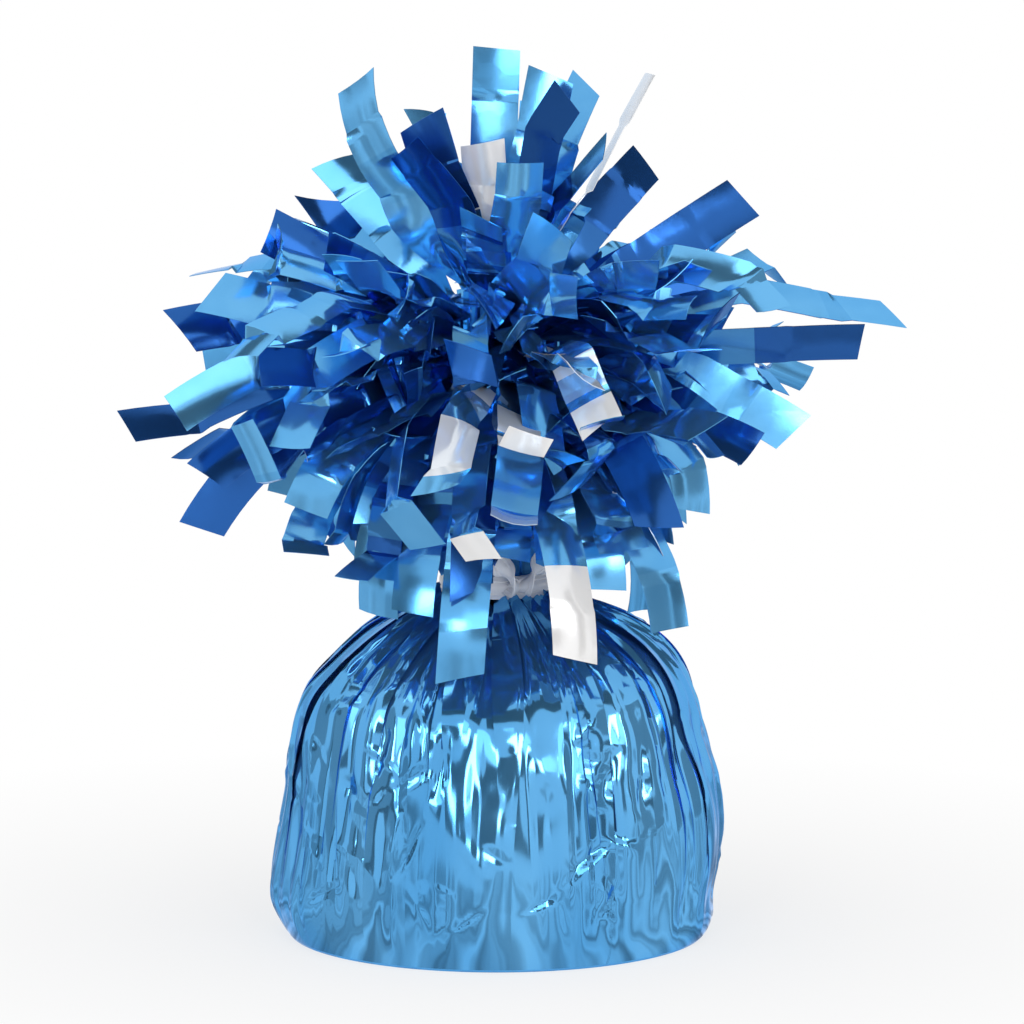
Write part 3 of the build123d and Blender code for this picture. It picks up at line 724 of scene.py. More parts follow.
# Creases pressed into the front, right of the middle: start and end as azimuth
# and way up the side, half width, and depth, in degrees and millimetres.
PRESSED = (
    (-62.0, 26.0, -55.0, 35.0, 1.6, -0.75),
    (-61.0, 25.0, -66.0, 31.0, 1.1, 0.45),
    (-70.0, 16.5, -60.0, 20.5, 1.3, -0.70),
    (-60.0, 20.5, -52.0, 18.5, 1.2, 0.50),
    (-57.0, 14.0, -62.0, 8.5, 1.2, -0.45),
    (-50.0, 24.0, -47.0, 30.0, 1.2, -0.50),
    (-67.0, 36.0, -59.0, 41.0, 1.2, 0.50),
    (-107.0, 27.0, -104.0, 39.0, 1.2, -0.50),
    (-121.0, 9.0, -116.0, 26.0, 1.0, 0.45),
    (-128.0, 24.0, -122.0, 40.0, 1.1, -0.45),
)


def pressed_creases(angle, way):
    """Height of the film over its creases at the front."""
    total = np.zeros_like(angle)
    for turn, low, end_turn, high, half, depth in PRESSED:
        run = np.array((math.radians(end_turn - turn) * BELLY_RADIUS, high - low))
        length = np.hypot(*run)
        side = turned_away(angle - math.radians(turn)) * BELLY_RADIUS
        rise = way - low
        along = (side * run[0] + rise * run[1]) / length
        across = (rise * run[0] - side * run[1]) / length
        window = np.clip(1.0 - (2.0 * along / length - 1.0) ** 2, 0.0, 1.0) ** 0.7
        total += depth * np.clip(1.0 - np.abs(across) / half, 0.0, 1.0) * window
    return total


# Where the filled body slumps: azimuth, height, reach round and up, and bulge, in degrees and millimetres
SLUMPS = (
    (0.0, 21.0, 50.0, 9.0, 1.3),
    (0.0, 6.0, 50.0, 5.0, -0.8),
    (0.0, 47.0, 50.0, 5.0, 1.2),
    (180.0, 44.0, 55.0, 4.5, -1.1),
    (180.0, 21.0, 55.0, 6.0, -0.6),
    (180.0, 7.0, 55.0, 5.0, 0.9),
    (60.0, 14.0, 45.0, 10.0, 0.6),
    (120.0, 26.0, 45.0, 12.0, -0.6),
)


def slump(angle, height):
    total = np.zeros_like(angle)
    for turn, middle, wide, tall, bulge in SLUMPS:
        side = turned_away(angle - math.radians(turn)) / math.radians(wide)
        total += bulge * np.exp(-side ** 2 - ((height - middle) / tall) ** 2)
    return total


# Pleats: mesh columns of each one, spreads of their start, strength, first way share and wander,
# and where a flap ends and turns back
PLEAT_COLUMNS = 20
PLEAT_SHIFT = 0.28
PLEAT_STRENGTHS = (0.35, 1.45)
PLEAT_BEGINS = (-0.15, 0.38)
PLEAT_WANDER = 0.16
PLEAT_GROWTH = 0.75
FLAP_STOPS = (0.0, 0.45, 0.60, 1.0)
FLAP_DEPTHS = (1.0, 0.0, 0.45, 1.0)
FLAP_MIDDLE = 0.55
LAP_GROWTH = 0.62
LARGEST_LAP = 0.78
FARTHEST_EDGE = 0.95


def folded_pleats(count, rows, way_share, rng):
    """Angle and depth of a film laid in overlapping pleats that deepen towards the neck."""
    pitch = 2.0 * math.pi / count
    starts = pitch * (np.arange(count) + rng.uniform(-PLEAT_SHIFT, PLEAT_SHIFT, count))
    hands = rng.choice((-1.0, 1.0), count)
    strengths = rng.uniform(*PLEAT_STRENGTHS, count)
    begins = rng.uniform(*PLEAT_BEGINS, count)
    wanders = rng.uniform(-PLEAT_WANDER, PLEAT_WANDER, count) * pitch
    phases = rng.uniform(0.0, 2.0 * math.pi, count)
    t = np.arange(PLEAT_COLUMNS) / PLEAT_COLUMNS
    angles = np.empty((rows, count * PLEAT_COLUMNS))
    depths = np.empty_like(angles)
    for row, share in enumerate(way_share):
        drift = wanders * (1.0 - share) * np.sin(phases + 5.0 * share)
        edges = np.append(starts + drift, starts[0] + drift[0] + 2.0 * math.pi)
        for k in range(count):
            grown = smooth((share - begins[k]) / PLEAT_GROWTH) * strengths[k]
            lap = min(LARGEST_LAP, LAP_GROWTH * grown)
            far = min(FARTHEST_EDGE, FLAP_MIDDLE + lap / 2.0)
            back = far - lap
            s = t if hands[k] > 0 else 1.0 - t
            out = np.interp(s, FLAP_STOPS, (0.0, far, back, 1.0))
            deep = np.interp(s, FLAP_STOPS, FLAP_DEPTHS)
            if hands[k] < 0:
                out = 1.0 - out
            place = slice(k * PLEAT_COLUMNS, (k + 1) * PLEAT_COLUMNS)
            angles[row, place] = edges[k] + (edges[k + 1] - edges[k]) * out
            depths[row, place] = deep * (0.45 + 0.55 * strengths[k]) * smooth((share - begins[k] + 0.1) / 0.5)
    return angles, depths


# Flat foot: its rings, and the shallow creases pressed into it, with half widths in radians
FOOT_RINGS = 18
FOOT_CREASES = 34
FOOT_CREASE_HALF = (0.05, 0.16)
FOOT_CREASE_HEIGHT = 0.28


def foot_rows(angles, rng):
    """The flat foot from its middle to its edge, with shallow folds pressed into it."""
    reach = np.linspace(0.02, 1.0, FOOT_RINGS)[:-1]
    waves = np.zeros_like(angles)
    for _ in range(FOOT_CREASES):
        turn = rng.uniform(-math.pi, math.pi)
        half = rng.uniform(*FOOT_CREASE_HALF)
        waves = np.maximum(waves, np.clip(1.0 - np.abs(turned_away(angles - turn)) / half, 0.0, 1.0))
    grid = np.empty((len(reach), len(angles), 3))
    for row, share in enumerate(reach):
        grid[row, :, 0] = FOOT_RADIUS * share * np.cos(angles)
        grid[row, :, 1] = FOOT_RADIUS * share * np.sin(angles)
        grid[row, :, 2] = FOOT_CREASE_HEIGHT * waves * math.sin(math.pi * share) ** 0.7
    return grid


# Creases that wander up the side: count, and their shortest and longest waves
LONG_CREASES = (92, 3.5, 15.0)
CRUMPLES = (64, 1.5, 4.0)
# Folds strewn over the side: count, ranges of half width, half length and height, largest slant in degrees,
# and the lowest and highest way up the side
DRAWN_FOLDS = (60, (1.0, 3.0), (14.0, 40.0), (0.3, 1.0), 6.0, -4.0, 50.0)
LOW_FOLDS = (44, (1.3, 2.8), (18.0, 38.0), (0.4, 1.1), 5.0, 2.0, 20.0)
SMALL_FOLDS = (150, (0.6, 1.6), (2.0, 7.0), (0.3, 1.0), 70.0, 3.0, 60.0)
# The crumpled band round the body: its middle and reach up the side
CRUMPLE_MIDDLE = 33.0
CRUMPLE_REACH = 9.0
# Where the long creases grow up the side, the film's largest rise or dip, and the calm edge of the foot
CREASES_GROW = (8.0, 26.0)
LARGEST_LIFT = 1.3
CALM_EDGE = 7.0
WRAP_SEED = 41
PROFILE_STEPS = 4000


def wrap_grid(settings):
    """Points of the wrap's film, from the middle of the foot to the neck."""
    rng = np.random.default_rng(WRAP_SEED)
    z = np.linspace(0.0, NECK_HEIGHT, PROFILE_STEPS)
    radius, height, way = even_profile(film_radius(z), z, settings.rows)
    angles, depths = folded_pleats(settings.pleats, settings.rows, way / way[-1], rng)
    over = np.repeat(way[:, None], angles.shape[1], axis=1)
    out = np.gradient(height, way)
    up = -np.gradient(radius, way)
    relief = settings.relief / MM
    drawn = 0.7 + 0.5 * smooth((way - CREASES_GROW[0]) / CREASES_GROW[1])[:, None]
    crumpled = 0.08 + 0.5 * np.exp(-((way - CRUMPLE_MIDDLE) / CRUMPLE_REACH) ** 2)[:, None]
    lift = (pleat_depth(height)[:, None] * (0.5 - depths)
            + creased_film(angles, way, rng, *LONG_CREASES) * relief * drawn
            + creased_film(angles, way, rng, *CRUMPLES) * relief * crumpled
            + crease_sum(angles, over, rng, *DRAWN_FOLDS) * relief
            + crease_sum(angles, over, rng, *LOW_FOLDS) * relief
            + crease_sum(angles, over, rng, *SMALL_FOLDS) * relief
            + pressed_creases(angles, over))
    lift = np.clip(lift, -LARGEST_LIFT, LARGEST_LIFT) + slump(angles, height[:, None])
    lift = lift * smooth(way / CALM_EDGE)[:, None]
    around = radius[:, None] + lift * out[:, None]
    level = height[:, None] + lift * up[:, None]
    side = round_points(around, angles, level)
    grid = np.concatenate([foot_rows(angles[0], rng), side])
    grid[..., 2] += settings.film / MM / 2.0
    return grid[:, ::-1]


# Gathered columns of the neck and stalk: folds round them, spreads of their place and depth,
# and their twist for each millimetre up
NECK_FOLDS = 22
NECK_FOLD_SHIFT = 0.3
NECK_FOLD_DEPTHS = (0.45, 1.0)
NECK_RING_DEPTHS = (0.85, 1.0)
NECK_TWIST = 0.012
NECK_SEED = 17


def gathered_rings(heights, radii, rng):
    """Irregular folds of film round a column, twisting a little on the way up."""
    count = 2 * NECK_FOLDS
    turns = 2.0 * math.pi * (np.arange(count) + rng.uniform(-NECK_FOLD_SHIFT, NECK_FOLD_SHIFT, count)) / count
    sides = np.where(np.arange(count) % 2 == 0, 1.0, -1.0) * rng.uniform(*NECK_FOLD_DEPTHS, count)
    rings = []
    for height, radius in zip(heights, radii):
        around = radius + PLEAT_DEPTH / 2.0 * sides * rng.uniform(*NECK_RING_DEPTHS, count)
        angle = turns + NECK_TWIST * (height - NECK_HEIGHT)
        rings.append(round_points(around, angle, np.full(count, height)))
    return np.array(rings)


def neck_rings():
    """Rings of the whole gathered column, and the heights they stand at."""
    lengths = ((NECK_HEIGHT, NECK_TOP, 3), (NECK_TOP, THROAT_MIDDLE, 5), (THROAT_MIDDLE, THROAT_TOP, 5),
               (THROAT_TOP, PANEL_TOP, 11))
    heights = [np.linspace(low, high, steps, endpoint=False) for low, high, steps in lengths]
    heights = np.append(np.concatenate(heights), PANEL_TOP)
    radii = np.interp(heights, (NECK_HEIGHT, NECK_TOP, THROAT_TOP, PANEL_TOP),
                      (NECK_BUNDLE, NECK_BUNDLE, STALK_RADIUS, STALK_RADIUS))
    return heights, gathered_rings(heights, radii, np.random.default_rng(NECK_SEED))


# Strips of the tuft: mesh steps along and across them, and half the length of a crease as a share of a strip
STRIP_LENGTHS = 18
STRIP_WIDTHS = 4
KINK_HALF = 0.012


def wobble(seed, most):
    """An even spread of numbers up to a largest one either way, from whole seeds."""
    return most * (2.0 * ((seed * GOLDEN) % 1.0) - 1.0)


def polar(radius, degrees, height=0.0):
    angle = math.radians(degrees)
    return np.array((radius * math.cos(angle), radius * math.sin(angle), height))


def panel_azimuth(panel):
    return panel * PANEL_STEP + PANEL_TURN


def creases(number, down, up):
    """Share along the strip, pitch and roll of each crease of a numbered strip."""
    found = []
    for i, middle in enumerate(CREASE_SHARES):
        seed = number * len(CREASE_SHARES) + i
        bold = wobble(seed, 1.0)
        pitch = (CREASE_PITCH + CREASE_SHARP * bold * bold) * bold
        found.append((middle + wobble(2 * seed + 1, CREASE_DRIFT),
                      math.radians(pitch * (up if pitch > 0.0 else down)),
                      math.radians(wobble(3 * seed + 2, CREASE_ROLL) * max(up, down))))
    return np.array(found)


def strip_shape(panel, row, column):
    """Turn, elevation, reach, start lift, roll and creases of one strip of a panel."""
    number = (panel * len(STRIP_ROWS) + row) * len(COLUMN_TURNS) + column
    elevation, reach, lift, down, up = STRIP_ROWS[row][1:]
    placed = PLACED.get((PANEL_NAMES[panel], row, column))
    if placed:
        return placed + (creases(number, down * PLACED_CREASE, up * PLACED_CREASE),)
    steep = max(0.0, elevation) / UPPER_ROWS[-1][1]
    turn = COLUMN_TURNS[column] * (1.0 - steep * (1.0 - STEEP_COLUMN_SHARE))
    return (turn,
            elevation + wobble(number, ELEVATION_SPREAD),
            reach + wobble(2 * number + 1, REACH_SPREAD),
            lift,
            wobble(3 * number + 2, ROLL_SPREAD),
            creases(number, down, up))


def filler_shape(number):
    """Root's share, turn, elevation, reach, start lift, roll and creases of one short strip."""
    rise = wobble(number, 1.0)
    return (FILLER_SHARE[0] + FILLER_SHARE[1] * rise,
            wobble(2 * number + 1, FILLER_TURN),
            FILLER_ELEVATION[0] + FILLER_ELEVATION[1] * rise + wobble(3 * number + 2, FILLER_ELEVATION[2]),
            FILLER_REACH[0] + wobble(5 * number + 3, FILLER_REACH[1]),
            FILLER_LIFT[0] + wobble(7 * number + 4, FILLER_LIFT[1]),
            wobble(11 * number + 5, FILLER_ROLL),
            creases(number, 1.0, 1.0))


def crown_filler(number):
    """Azimuth, elevation, reach, start lift and roll of one short strip of the crown."""
    return (360.0 * GOLDEN * number,
            CROWN_FILLER_ELEVATION[0] + wobble(2 * number + 1, CROWN_FILLER_ELEVATION[1]),
            CROWN_FILLER_REACH[0] + wobble(3 * number + 2, CROWN_FILLER_REACH[1]),
            wobble(5 * number + 3, CROWN_FILLER_LIFT),
            wobble(7 * number + 4, FILLER_ROLL))


def turned_about(axis, angle):
    """Matrix that turns rows of vectors about a unit axis."""
    x, y, z = axis
    skew = np.array(((0.0, -z, y), (z, 0.0, -x), (-y, x, 0.0)))
    return (np.eye(3) + math.sin(angle) * skew + (1.0 - math.cos(angle)) * skew @ skew).T


def turned_so_far(folds, s, column):
    """How far the creases have turned a strip at each share of its length."""
    steps = np.clip((s[:, None] - folds[:, 0] + KINK_HALF) / (2.0 * KINK_HALF), 0.0, 1.0)
    return steps @ folds[:, column]


def strip_path(s, folds, bend, run, rise):
    """Places and headings of a creased arc in the upright plane, from (0, 0) to (run, rise)."""
    middle = (s[1:] + s[:-1]) / 2.0
    heading = bend * (1.0 - 2.0 * middle) + turned_so_far(folds, middle, 1)
    step = np.diff(s)
    x = np.concatenate([[0.0], np.cumsum(np.cos(heading) * step)])
    z = np.concatenate([[0.0], np.cumsum(np.sin(heading) * step)])
    turn = math.atan2(rise, run) - math.atan2(z[-1], x[-1])
    size = math.hypot(run, rise) / math.hypot(x[-1], z[-1])
    c, w = size * math.cos(turn), size * math.sin(turn)
    return c * x - w * z, w * x + c * z, turn + bend * (1.0 - 2.0 * s) + turned_so_far(folds, s, 1)


# Loose folds of a strip: how many, where along it, turn as a share of the kink setting, and slant in degrees
LOOSE_FOLDS = 2
LOOSE_SHARES = (0.34, 0.84)
LOOSE_TURN = 0.5
LOOSE_SLANT = 32.0
# The strong fold near the tip of some strips: where, how many times the kink setting, and slant in degrees
FLIP_SHARES = (0.80, 0.92)
FLIP_TURNS = (1.2, 3.6)
FLIP_SLANT = 30.0


def loose_folds(settings, rng, crumple):
    """Share, turn and slant of the small folds that a strip has besides its creases."""
    folds = [(rng.uniform(*LOOSE_SHARES), rng.normal(0.0, settings.kink * LOOSE_TURN) * crumple,
              rng.normal(0.0, math.radians(LOOSE_SLANT))) for _ in range(LOOSE_FOLDS)]
    share = rng.uniform(*FLIP_SHARES)
    turn = rng.choice((-1.0, 1.0)) * rng.uniform(*FLIP_TURNS)
    slant = rng.normal(0.0, math.radians(FLIP_SLANT))
    if rng.uniform() < settings.folded * crumple:
        folds.append((share, turn * settings.kink, slant))
    return sorted(folds)


# Twist of a strip in degrees, change of its width, least half width, depth of the fold at its root,
# share of its curl at the root, and skew of its end from where it starts
TWIST_SPREAD = 14.0
WIDTH_CHANGE = (-0.10, 0.03)
LEAST_HALF = 0.6
ROOT_FOLD = 0.32
ROOT_CURL = 0.4
TIP_SKEW = 0.34
SKEW_START = 0.6


def strip_grid(settings, rng, root, azimuth, elevation, reach, lift, roll, folds, edge_turn=90.0,
               crumple=1.0):
    """Points of one strip, a creased and curled arc from root to tip, and the facet of each row."""
    outward = polar(1.0, azimuth)
    across = np.array((-outward[1], outward[0], 0.0))
    tip = polar(reach * math.cos(math.radians(elevation)), azimuth,
                TUFT_MIDDLE + reach * math.sin(math.radians(elevation)))
    loose = loose_folds(settings, rng, crumple)
    lines = np.concatenate([folds[:, 0], [fold[0] for fold in loose]])
    stops = np.concatenate([np.linspace(0.0, 1.0, STRIP_LENGTHS + 1), lines - KINK_HALF, lines + KINK_HALF])
    s = np.unique(np.clip(stops, 0.0, 1.0))
    x, z, heading = strip_path(s, folds, math.radians(lift), (tip - root) @ outward, tip[2] - root[2])
    place = root + x[:, None] * outward + z[:, None] * UP
    opened = np.minimum(1.0, s / STRIP_SPREAD)
    twist = rng.normal(0.0, math.radians(TWIST_SPREAD)) * crumple
    turn = (math.radians(roll) * opened + turned_so_far(folds, s, 2)
            + twist * np.maximum(0.0, s - STRIP_SPREAD))[:, None]
    rising = heading[:, None]
    face = np.cos(rising) * UP - np.sin(rising) * outward
    axes = np.stack([np.cos(rising) * outward + np.sin(rising) * UP,
                     np.cos(turn) * across + np.sin(turn) * face,
                     np.cos(turn) * face - np.sin(turn) * across], axis=1)
    for share, angle, lean in loose:
        at = int(np.argmin(np.abs(s - share + KINK_HALF)))
        line = axes[at, 1] * math.cos(lean) + axes[at, 0] * math.sin(lean)
        matrix = turned_about(line, angle)
        place[at + 1:] = place[at] + (place[at + 1:] - place[at]) @ matrix
        axes[at + 1:] = axes[at + 1:] @ matrix
    onward, side, normal = np.moveaxis(axes, 1, 0)

    full = settings.strip_width / MM * (1.0 + rng.uniform(*WIDTH_CHANGE) * crumple)
    narrow = settings.root_width / MM
    room = np.maximum(LEAST_HALF, (place @ outward) * math.sin(math.radians(edge_turn)) - PANEL_GAP)
    half = np.minimum((narrow + (full - narrow) * opened) / 2.0, room)
    w = np.linspace(-1.0, 1.0, STRIP_WIDTHS + 1)
    arch = rng.uniform(-1.0, 1.0) * settings.curl / MM
    spare = np.sqrt(np.maximum(0.0, (full / 2.0) ** 2 - half ** 2))
    fold = ROOT_FOLD * spare * (1.0 - opened) * rng.choice((-1.0, 1.0))
    curl = arch * opened * (ROOT_CURL + (1.0 - ROOT_CURL) * s)
    raised = curl[:, None] * (1.0 - w ** 2) + fold[:, None] * (1.0 - np.abs(w))
    skew = rng.normal(0.0, TIP_SKEW) * smooth((s - SKEW_START) / (1.0 - SKEW_START))
    slid = skew[:, None] * half[:, None] * w
    grid = (place[:, None] + side[:, None] * (half[:, None] * w)[..., None]
            + normal[:, None] * raised[..., None] + onward[:, None] * slid[..., None])
    return grid, np.searchsorted(np.sort(lines), s)


def add_strip(solid, settings, rng, *shape, tone=None, white=0, **limits):
    """A film strip whose facets differ a little in painted reflection tone, with a number of painted white
    highlights at its tip.
    """
    grid, facets = strip_grid(settings, rng, *shape, **limits)
    drawn = rng.uniform(0.0, 1.0)
    shades = (drawn if tone is None else tone) + FACET_REFLECTION_SPREAD * ((7.0 * drawn + GOLDEN * facets) % 1.0 - 0.5)
    shades = np.where(facets > facets.max() - white, PAINTED_WHITE, shades)
    solid.add_film(grid, settings.film / MM, tone=shades)


# Folded foot of a panel: folds and levels, depth of the folds and its spread, and their share inside
PANEL_FOLDS = 6
PANEL_LEVELS = 6
PANEL_FOLD_DEPTH = 0.8
PANEL_FOLD_SPREAD = (0.7, 1.1)
PANEL_INNER_SHARE = 0.4
PANEL_INNER_ROOM = 0.1


def add_panel_foot(solid, azimuth, low, high, rng):
    """The folded foot of a panel: a slice of pleated film round the stalk."""
    edge = HALF_WEDGE - math.degrees(PANEL_GAP / 2.0 / PANEL_INNER)
    turns = np.linspace(-edge, edge, 2 * PANEL_FOLDS + 1)
    rings = []
    for height in np.linspace(low, high, PANEL_LEVELS):
        crest = np.where(np.arange(len(turns)) % 2 == 0, 0.0, -PANEL_FOLD_DEPTH)
        crest = crest * rng.uniform(*PANEL_FOLD_SPREAD, len(turns))
        inside = PANEL_INNER + PANEL_INNER_ROOM - PANEL_INNER_SHARE * crest
        outer = [polar(PANEL_OUTER + c, azimuth + t, height) for t, c in zip(turns, crest)]
        inner = [polar(c, azimuth + t, height) for t, c in zip(turns, inside)]
        rings.append(outer + inner[::-1])
    solid.add_column(np.array(rings))


# Creases of a strip that has only loose folds, and how crumpled placed strips, other strips and bits are
PLAIN = np.array([(share, 0.0, 0.0) for share in CREASE_SHARES])
CALM, LOOSE, WILD = 0.35, 1.0, 1.5

# Painted reflection tones of the strips that the photograph shows plainly: painted dark, blue, painted pale
# and painted white highlight; and the spread of painted reflection tone among a strip's facets
PAINTED_DARK, BLUE, PAINTED_PALE, PAINTED_WHITE = 0.16, 0.72, 1.42, 2.0
FACET_REFLECTION_SPREAD = 0.5
# Strips painted dark, as if mirroring dark surroundings
PAINTED_DARK_STRIPS = {("left", 2, 1), ("left", 2, 2), ("left", 3, 1), ("left", 4, 1), ("left", 5, 1),
               ("front_left", 2, 1), ("back_right", 5, 1), ("right", 4, 0), ("right", 5, 0), ("right", 5, 1),
               ("front_right", 2, 0), ("front_right", 3, 2)}
# Strips painted pale, as if mirroring bright light: their tone lies just into the painted white highlight
PAINTED_PALE_STRIPS = {("front", 2, 1), ("front", 3, 0), ("front", 3, 1), ("front", 3, 2), ("front", 4, 2),
               ("front_right", 1, 1)}
# Strips that end sooner than in the solids, so that the tie shows: share of their reach
SHORTENED = {("front", 0, 1): 0.76, ("front", 1, 1): 0.88}
# Strips with a painted white highlight at the tip, drawn as the film's bare side: facets at the tip
PAINTED_WHITE_TIPS = {("front", 0, 2): 2, ("front", 3, 1): 2, ("front", 2, 0): 1}
# Painted reflection tones of some crown strips, by number: painted dark, blue or painted white highlight
CROWN_REFLECTION_TONES = {0: BLUE, 1: PAINTED_DARK, 2: BLUE, 3: PAINTED_WHITE, 4: BLUE, 5: BLUE, 6: PAINTED_DARK, 7: BLUE, 8: PAINTED_WHITE, 9: PAINTED_DARK,
               11: BLUE, 12: BLUE, 13: PAINTED_DARK}


def add_panel_strip(solid, settings, rng, panel, root_share, turn, *shape, **look):
    azimuth = panel_azimuth(panel) + turn
    root = polar(PANEL_OUTER - ROOT_SINK, azimuth, PANEL_LOW + PANEL_HEIGHT * root_share)
    add_strip(solid, settings, rng, root, azimuth, *shape, edge_turn=HALF_WEDGE - abs(turn), **look)


def panel_solid(settings, panel, rows, low_share, high_share, seed):
    """The folded foot of a panel and the strips of some of its rows."""
    rng = np.random.default_rng(seed)
    solid = Solid()
    add_panel_foot(solid, panel_azimuth(panel), PANEL_LOW + PANEL_HEIGHT * low_share,
                   PANEL_LOW + PANEL_HEIGHT * high_share, rng)
    for row in rows:
        for column in range(len(COLUMN_TURNS)):
            key = (PANEL_NAMES[panel], row, column)
            # Listed strips get a painted tone: painted pale, painted dark or blue, and some a painted white
            # highlight at the tip
            look = {"crumple": CALM if key in PLACED else LOOSE, "white": PAINTED_WHITE_TIPS.get(key, 0)}
            if key in PAINTED_PALE_STRIPS:
                look["tone"] = PAINTED_PALE
            elif key in PLACED:
                look["tone"] = PAINTED_DARK if key in PAINTED_DARK_STRIPS else BLUE
            turn, elevation, reach, *rest = strip_shape(panel, row, column)
            add_panel_strip(solid, settings, rng, panel, STRIP_ROWS[row][0], turn, elevation,
                            reach * SHORTENED.get(key, 1.0), *rest, **look)
    return solid, rng


# Loose bits of a panel: spreads of turn, elevation and roll, and range of start lift, in degrees
BIT_TURN = 15.0
BIT_TILT = 10.0
BIT_ROLL = 75.0
BIT_LIFT = (6.0, 36.0)
# Loose bits of a skirt and of a fringe: lowest elevation and its growth up the panel, and range of reach
SKIRT_BITS = 3
SKIRT_BIT_LOW = 0.04
SKIRT_BIT_ELEVATION = (-44.0, 40.0)
SKIRT_BIT_REACH = (21.0, 29.0)
FRINGE_BIT_RISE = (0.05, 0.95)
FRINGE_BIT_ELEVATION = (-24.0, 70.0)
FRINGE_BIT_REACH = (22.0, 36.0)
SKIRT_SEED = 100
FRINGE_SEED = 200


def add_bit(solid, settings, rng, panel, root_share, elevation, reach):
    """A short loose strip on a panel, turned, tilted and rolled at random."""
    add_panel_strip(solid, settings, rng, panel, root_share, rng.uniform(-BIT_TURN, BIT_TURN),
                    elevation + rng.uniform(-BIT_TILT, BIT_TILT), rng.uniform(*reach),
                    rng.uniform(*BIT_LIFT), rng.uniform(-BIT_ROLL, BIT_ROLL), PLAIN, crumple=WILD)


def skirt_solid(settings, panel):
    """The strips that hang below a panel, with short bits among them."""
    rows = range(len(SKIRT_ROWS))
    solid, rng = panel_solid(settings, panel, rows, 0.0, SKIRT_SHARE, SKIRT_SEED + panel)
    lowest, growth = SKIRT_BIT_ELEVATION
    for _ in range(SKIRT_BITS):
        share = rng.uniform(SKIRT_BIT_LOW, SKIRT_SHARE)
        add_bit(solid, settings, rng, panel, share, lowest + growth * share, SKIRT_BIT_REACH)
    return solid


def fringe_solid(settings, panel):
    """The strips that fan out of a panel, with short ones and loose bits among them."""
    rows = range(len(SKIRT_ROWS), len(STRIP_ROWS))
    solid, rng = panel_solid(settings, panel, rows, SKIRT_SHARE, 1.0, FRINGE_SEED + panel)
    for i in range(FILLERS):
        add_panel_strip(solid, settings, rng, panel, *filler_shape(panel * FILLERS + i), crumple=LOOSE)
    lowest, growth = FRINGE_BIT_ELEVATION
    for _ in range(settings.bits):
        rise = rng.uniform(*FRINGE_BIT_RISE)
        share = SKIRT_SHARE + (1.0 - SKIRT_SHARE) * rise
        add_bit(solid, settings, rng, panel, share, lowest + growth * rise, FRINGE_BIT_REACH)
    return solid


# Crown: sides and folds of its cap, and ranges for its loose bits, in degrees and millimetres
CROWN_SIDES = 36
CROWN_FOLD = 0.5
CROWN_BIT_TURN = 90.0
CROWN_BIT_ROOT = (0.3, 0.85)
CROWN_BIT_ELEVATION = (66.0, 84.0)
CROWN_BIT_REACH = (31.0, 42.0)
CROWN_BIT_LIFT = (-12.0, 12.0)
CROWN_BIT_ROLL = (-70.0, 70.0)
CROWN_SEED = 300


def crown_root(azimuth, share):
    return polar(CROWN_RADIUS * share, azimuth, PANEL_TOP + CROWN_HEIGHT - ROOT_SINK)


def crown_solid(settings):
    """The upright strips on top of the stalk, on their small cap."""
    rng = np.random.default_rng(CROWN_SEED)
    solid = Solid()
    turns = np.linspace(0.0, 360.0, CROWN_SIDES + 1)[:-1]
    rings = [[polar(CROWN_RADIUS - CROWN_FOLD * (i % 2), turn, height) for i, turn in enumerate(turns)]
             for height in (PANEL_TOP, PANEL_TOP + CROWN_HEIGHT)]
    solid.add_column(np.array(rings))
    shapes = CROWN_STRIPS + tuple(crown_filler(i) for i in range(CROWN_FILLERS))
    for number, (azimuth, *shape) in enumerate(shapes):
        add_strip(solid, settings, rng, crown_root(azimuth, CROWN_ROOT_SHARE), azimuth, *shape,
                  creases(number, CROWN_CREASE, CROWN_CREASE), crumple=CALM, tone=CROWN_REFLECTION_TONES.get(number))
    for i in range(settings.crown_bits):
        azimuth = 360.0 * GOLDEN * i + CROWN_BIT_TURN
        add_strip(solid, settings, rng, crown_root(azimuth, rng.uniform(*CROWN_BIT_ROOT)), azimuth,
                  rng.uniform(*CROWN_BIT_ELEVATION), rng.uniform(*CROWN_BIT_REACH),
                  rng.uniform(*CROWN_BIT_LIFT), rng.uniform(*CROWN_BIT_ROLL), PLAIN, crumple=WILD)
    return solid


# Twist tie: half of its section, with the wire's ridge in the middle and a rib on each side
TIE_HALF = ((-1.8, 0.13), (-1.4, 0.13), (-1.12, 0.30), (-0.84, 0.15), (-0.42, 0.40), (0.0, 0.45),
            (0.42, 0.40), (0.84, 0.15), (1.12, 0.30), (1.4, 0.13), (1.8, 0.13))
TIE_SECTION = TIE_HALF + tuple((x, -y) for x, y in reversed(TIE_HALF))
# Mesh steps of the loop, of the turn out of the knot and of a tail
LOOP_STEPS = 360
KNOT_STEPS = 40
TAIL_STEPS = 70
# Knot: where its two ends start and leave it, how far along a tail the turn goes,
# how far an end is twisted in degrees, and how fast it untwists along its length
KNOT_IN = 0.9
KNOT_HALF = 0.5
KNOT_OUT = 0.1
KNOT_PULL = 0.6
KNOT_REACH = 0.9
KNOT_TWIST = 200.0
UNTWIST_RATE = 1.6


def tie_rings(path, wide, thick):
    """Sections of the ribbed tie along a path, with its width and thickness directions."""
    return np.array([[point + across * x + out * y for x, y in TIE_SECTION]
                     for point, across, out in zip(path, wide, thick)])


def unit(rows):
    return rows / np.linalg.norm(rows, axis=-1, keepdims=True)


def spun(points):
    """Points turned about Z to where the tie's knot stands."""
    c, s = math.cos(math.radians(TIE_TURN)), math.sin(math.radians(TIE_TURN))
    return points @ np.array(((c, s, 0.0), (-s, c, 0.0), (0.0, 0.0, 1.0)))


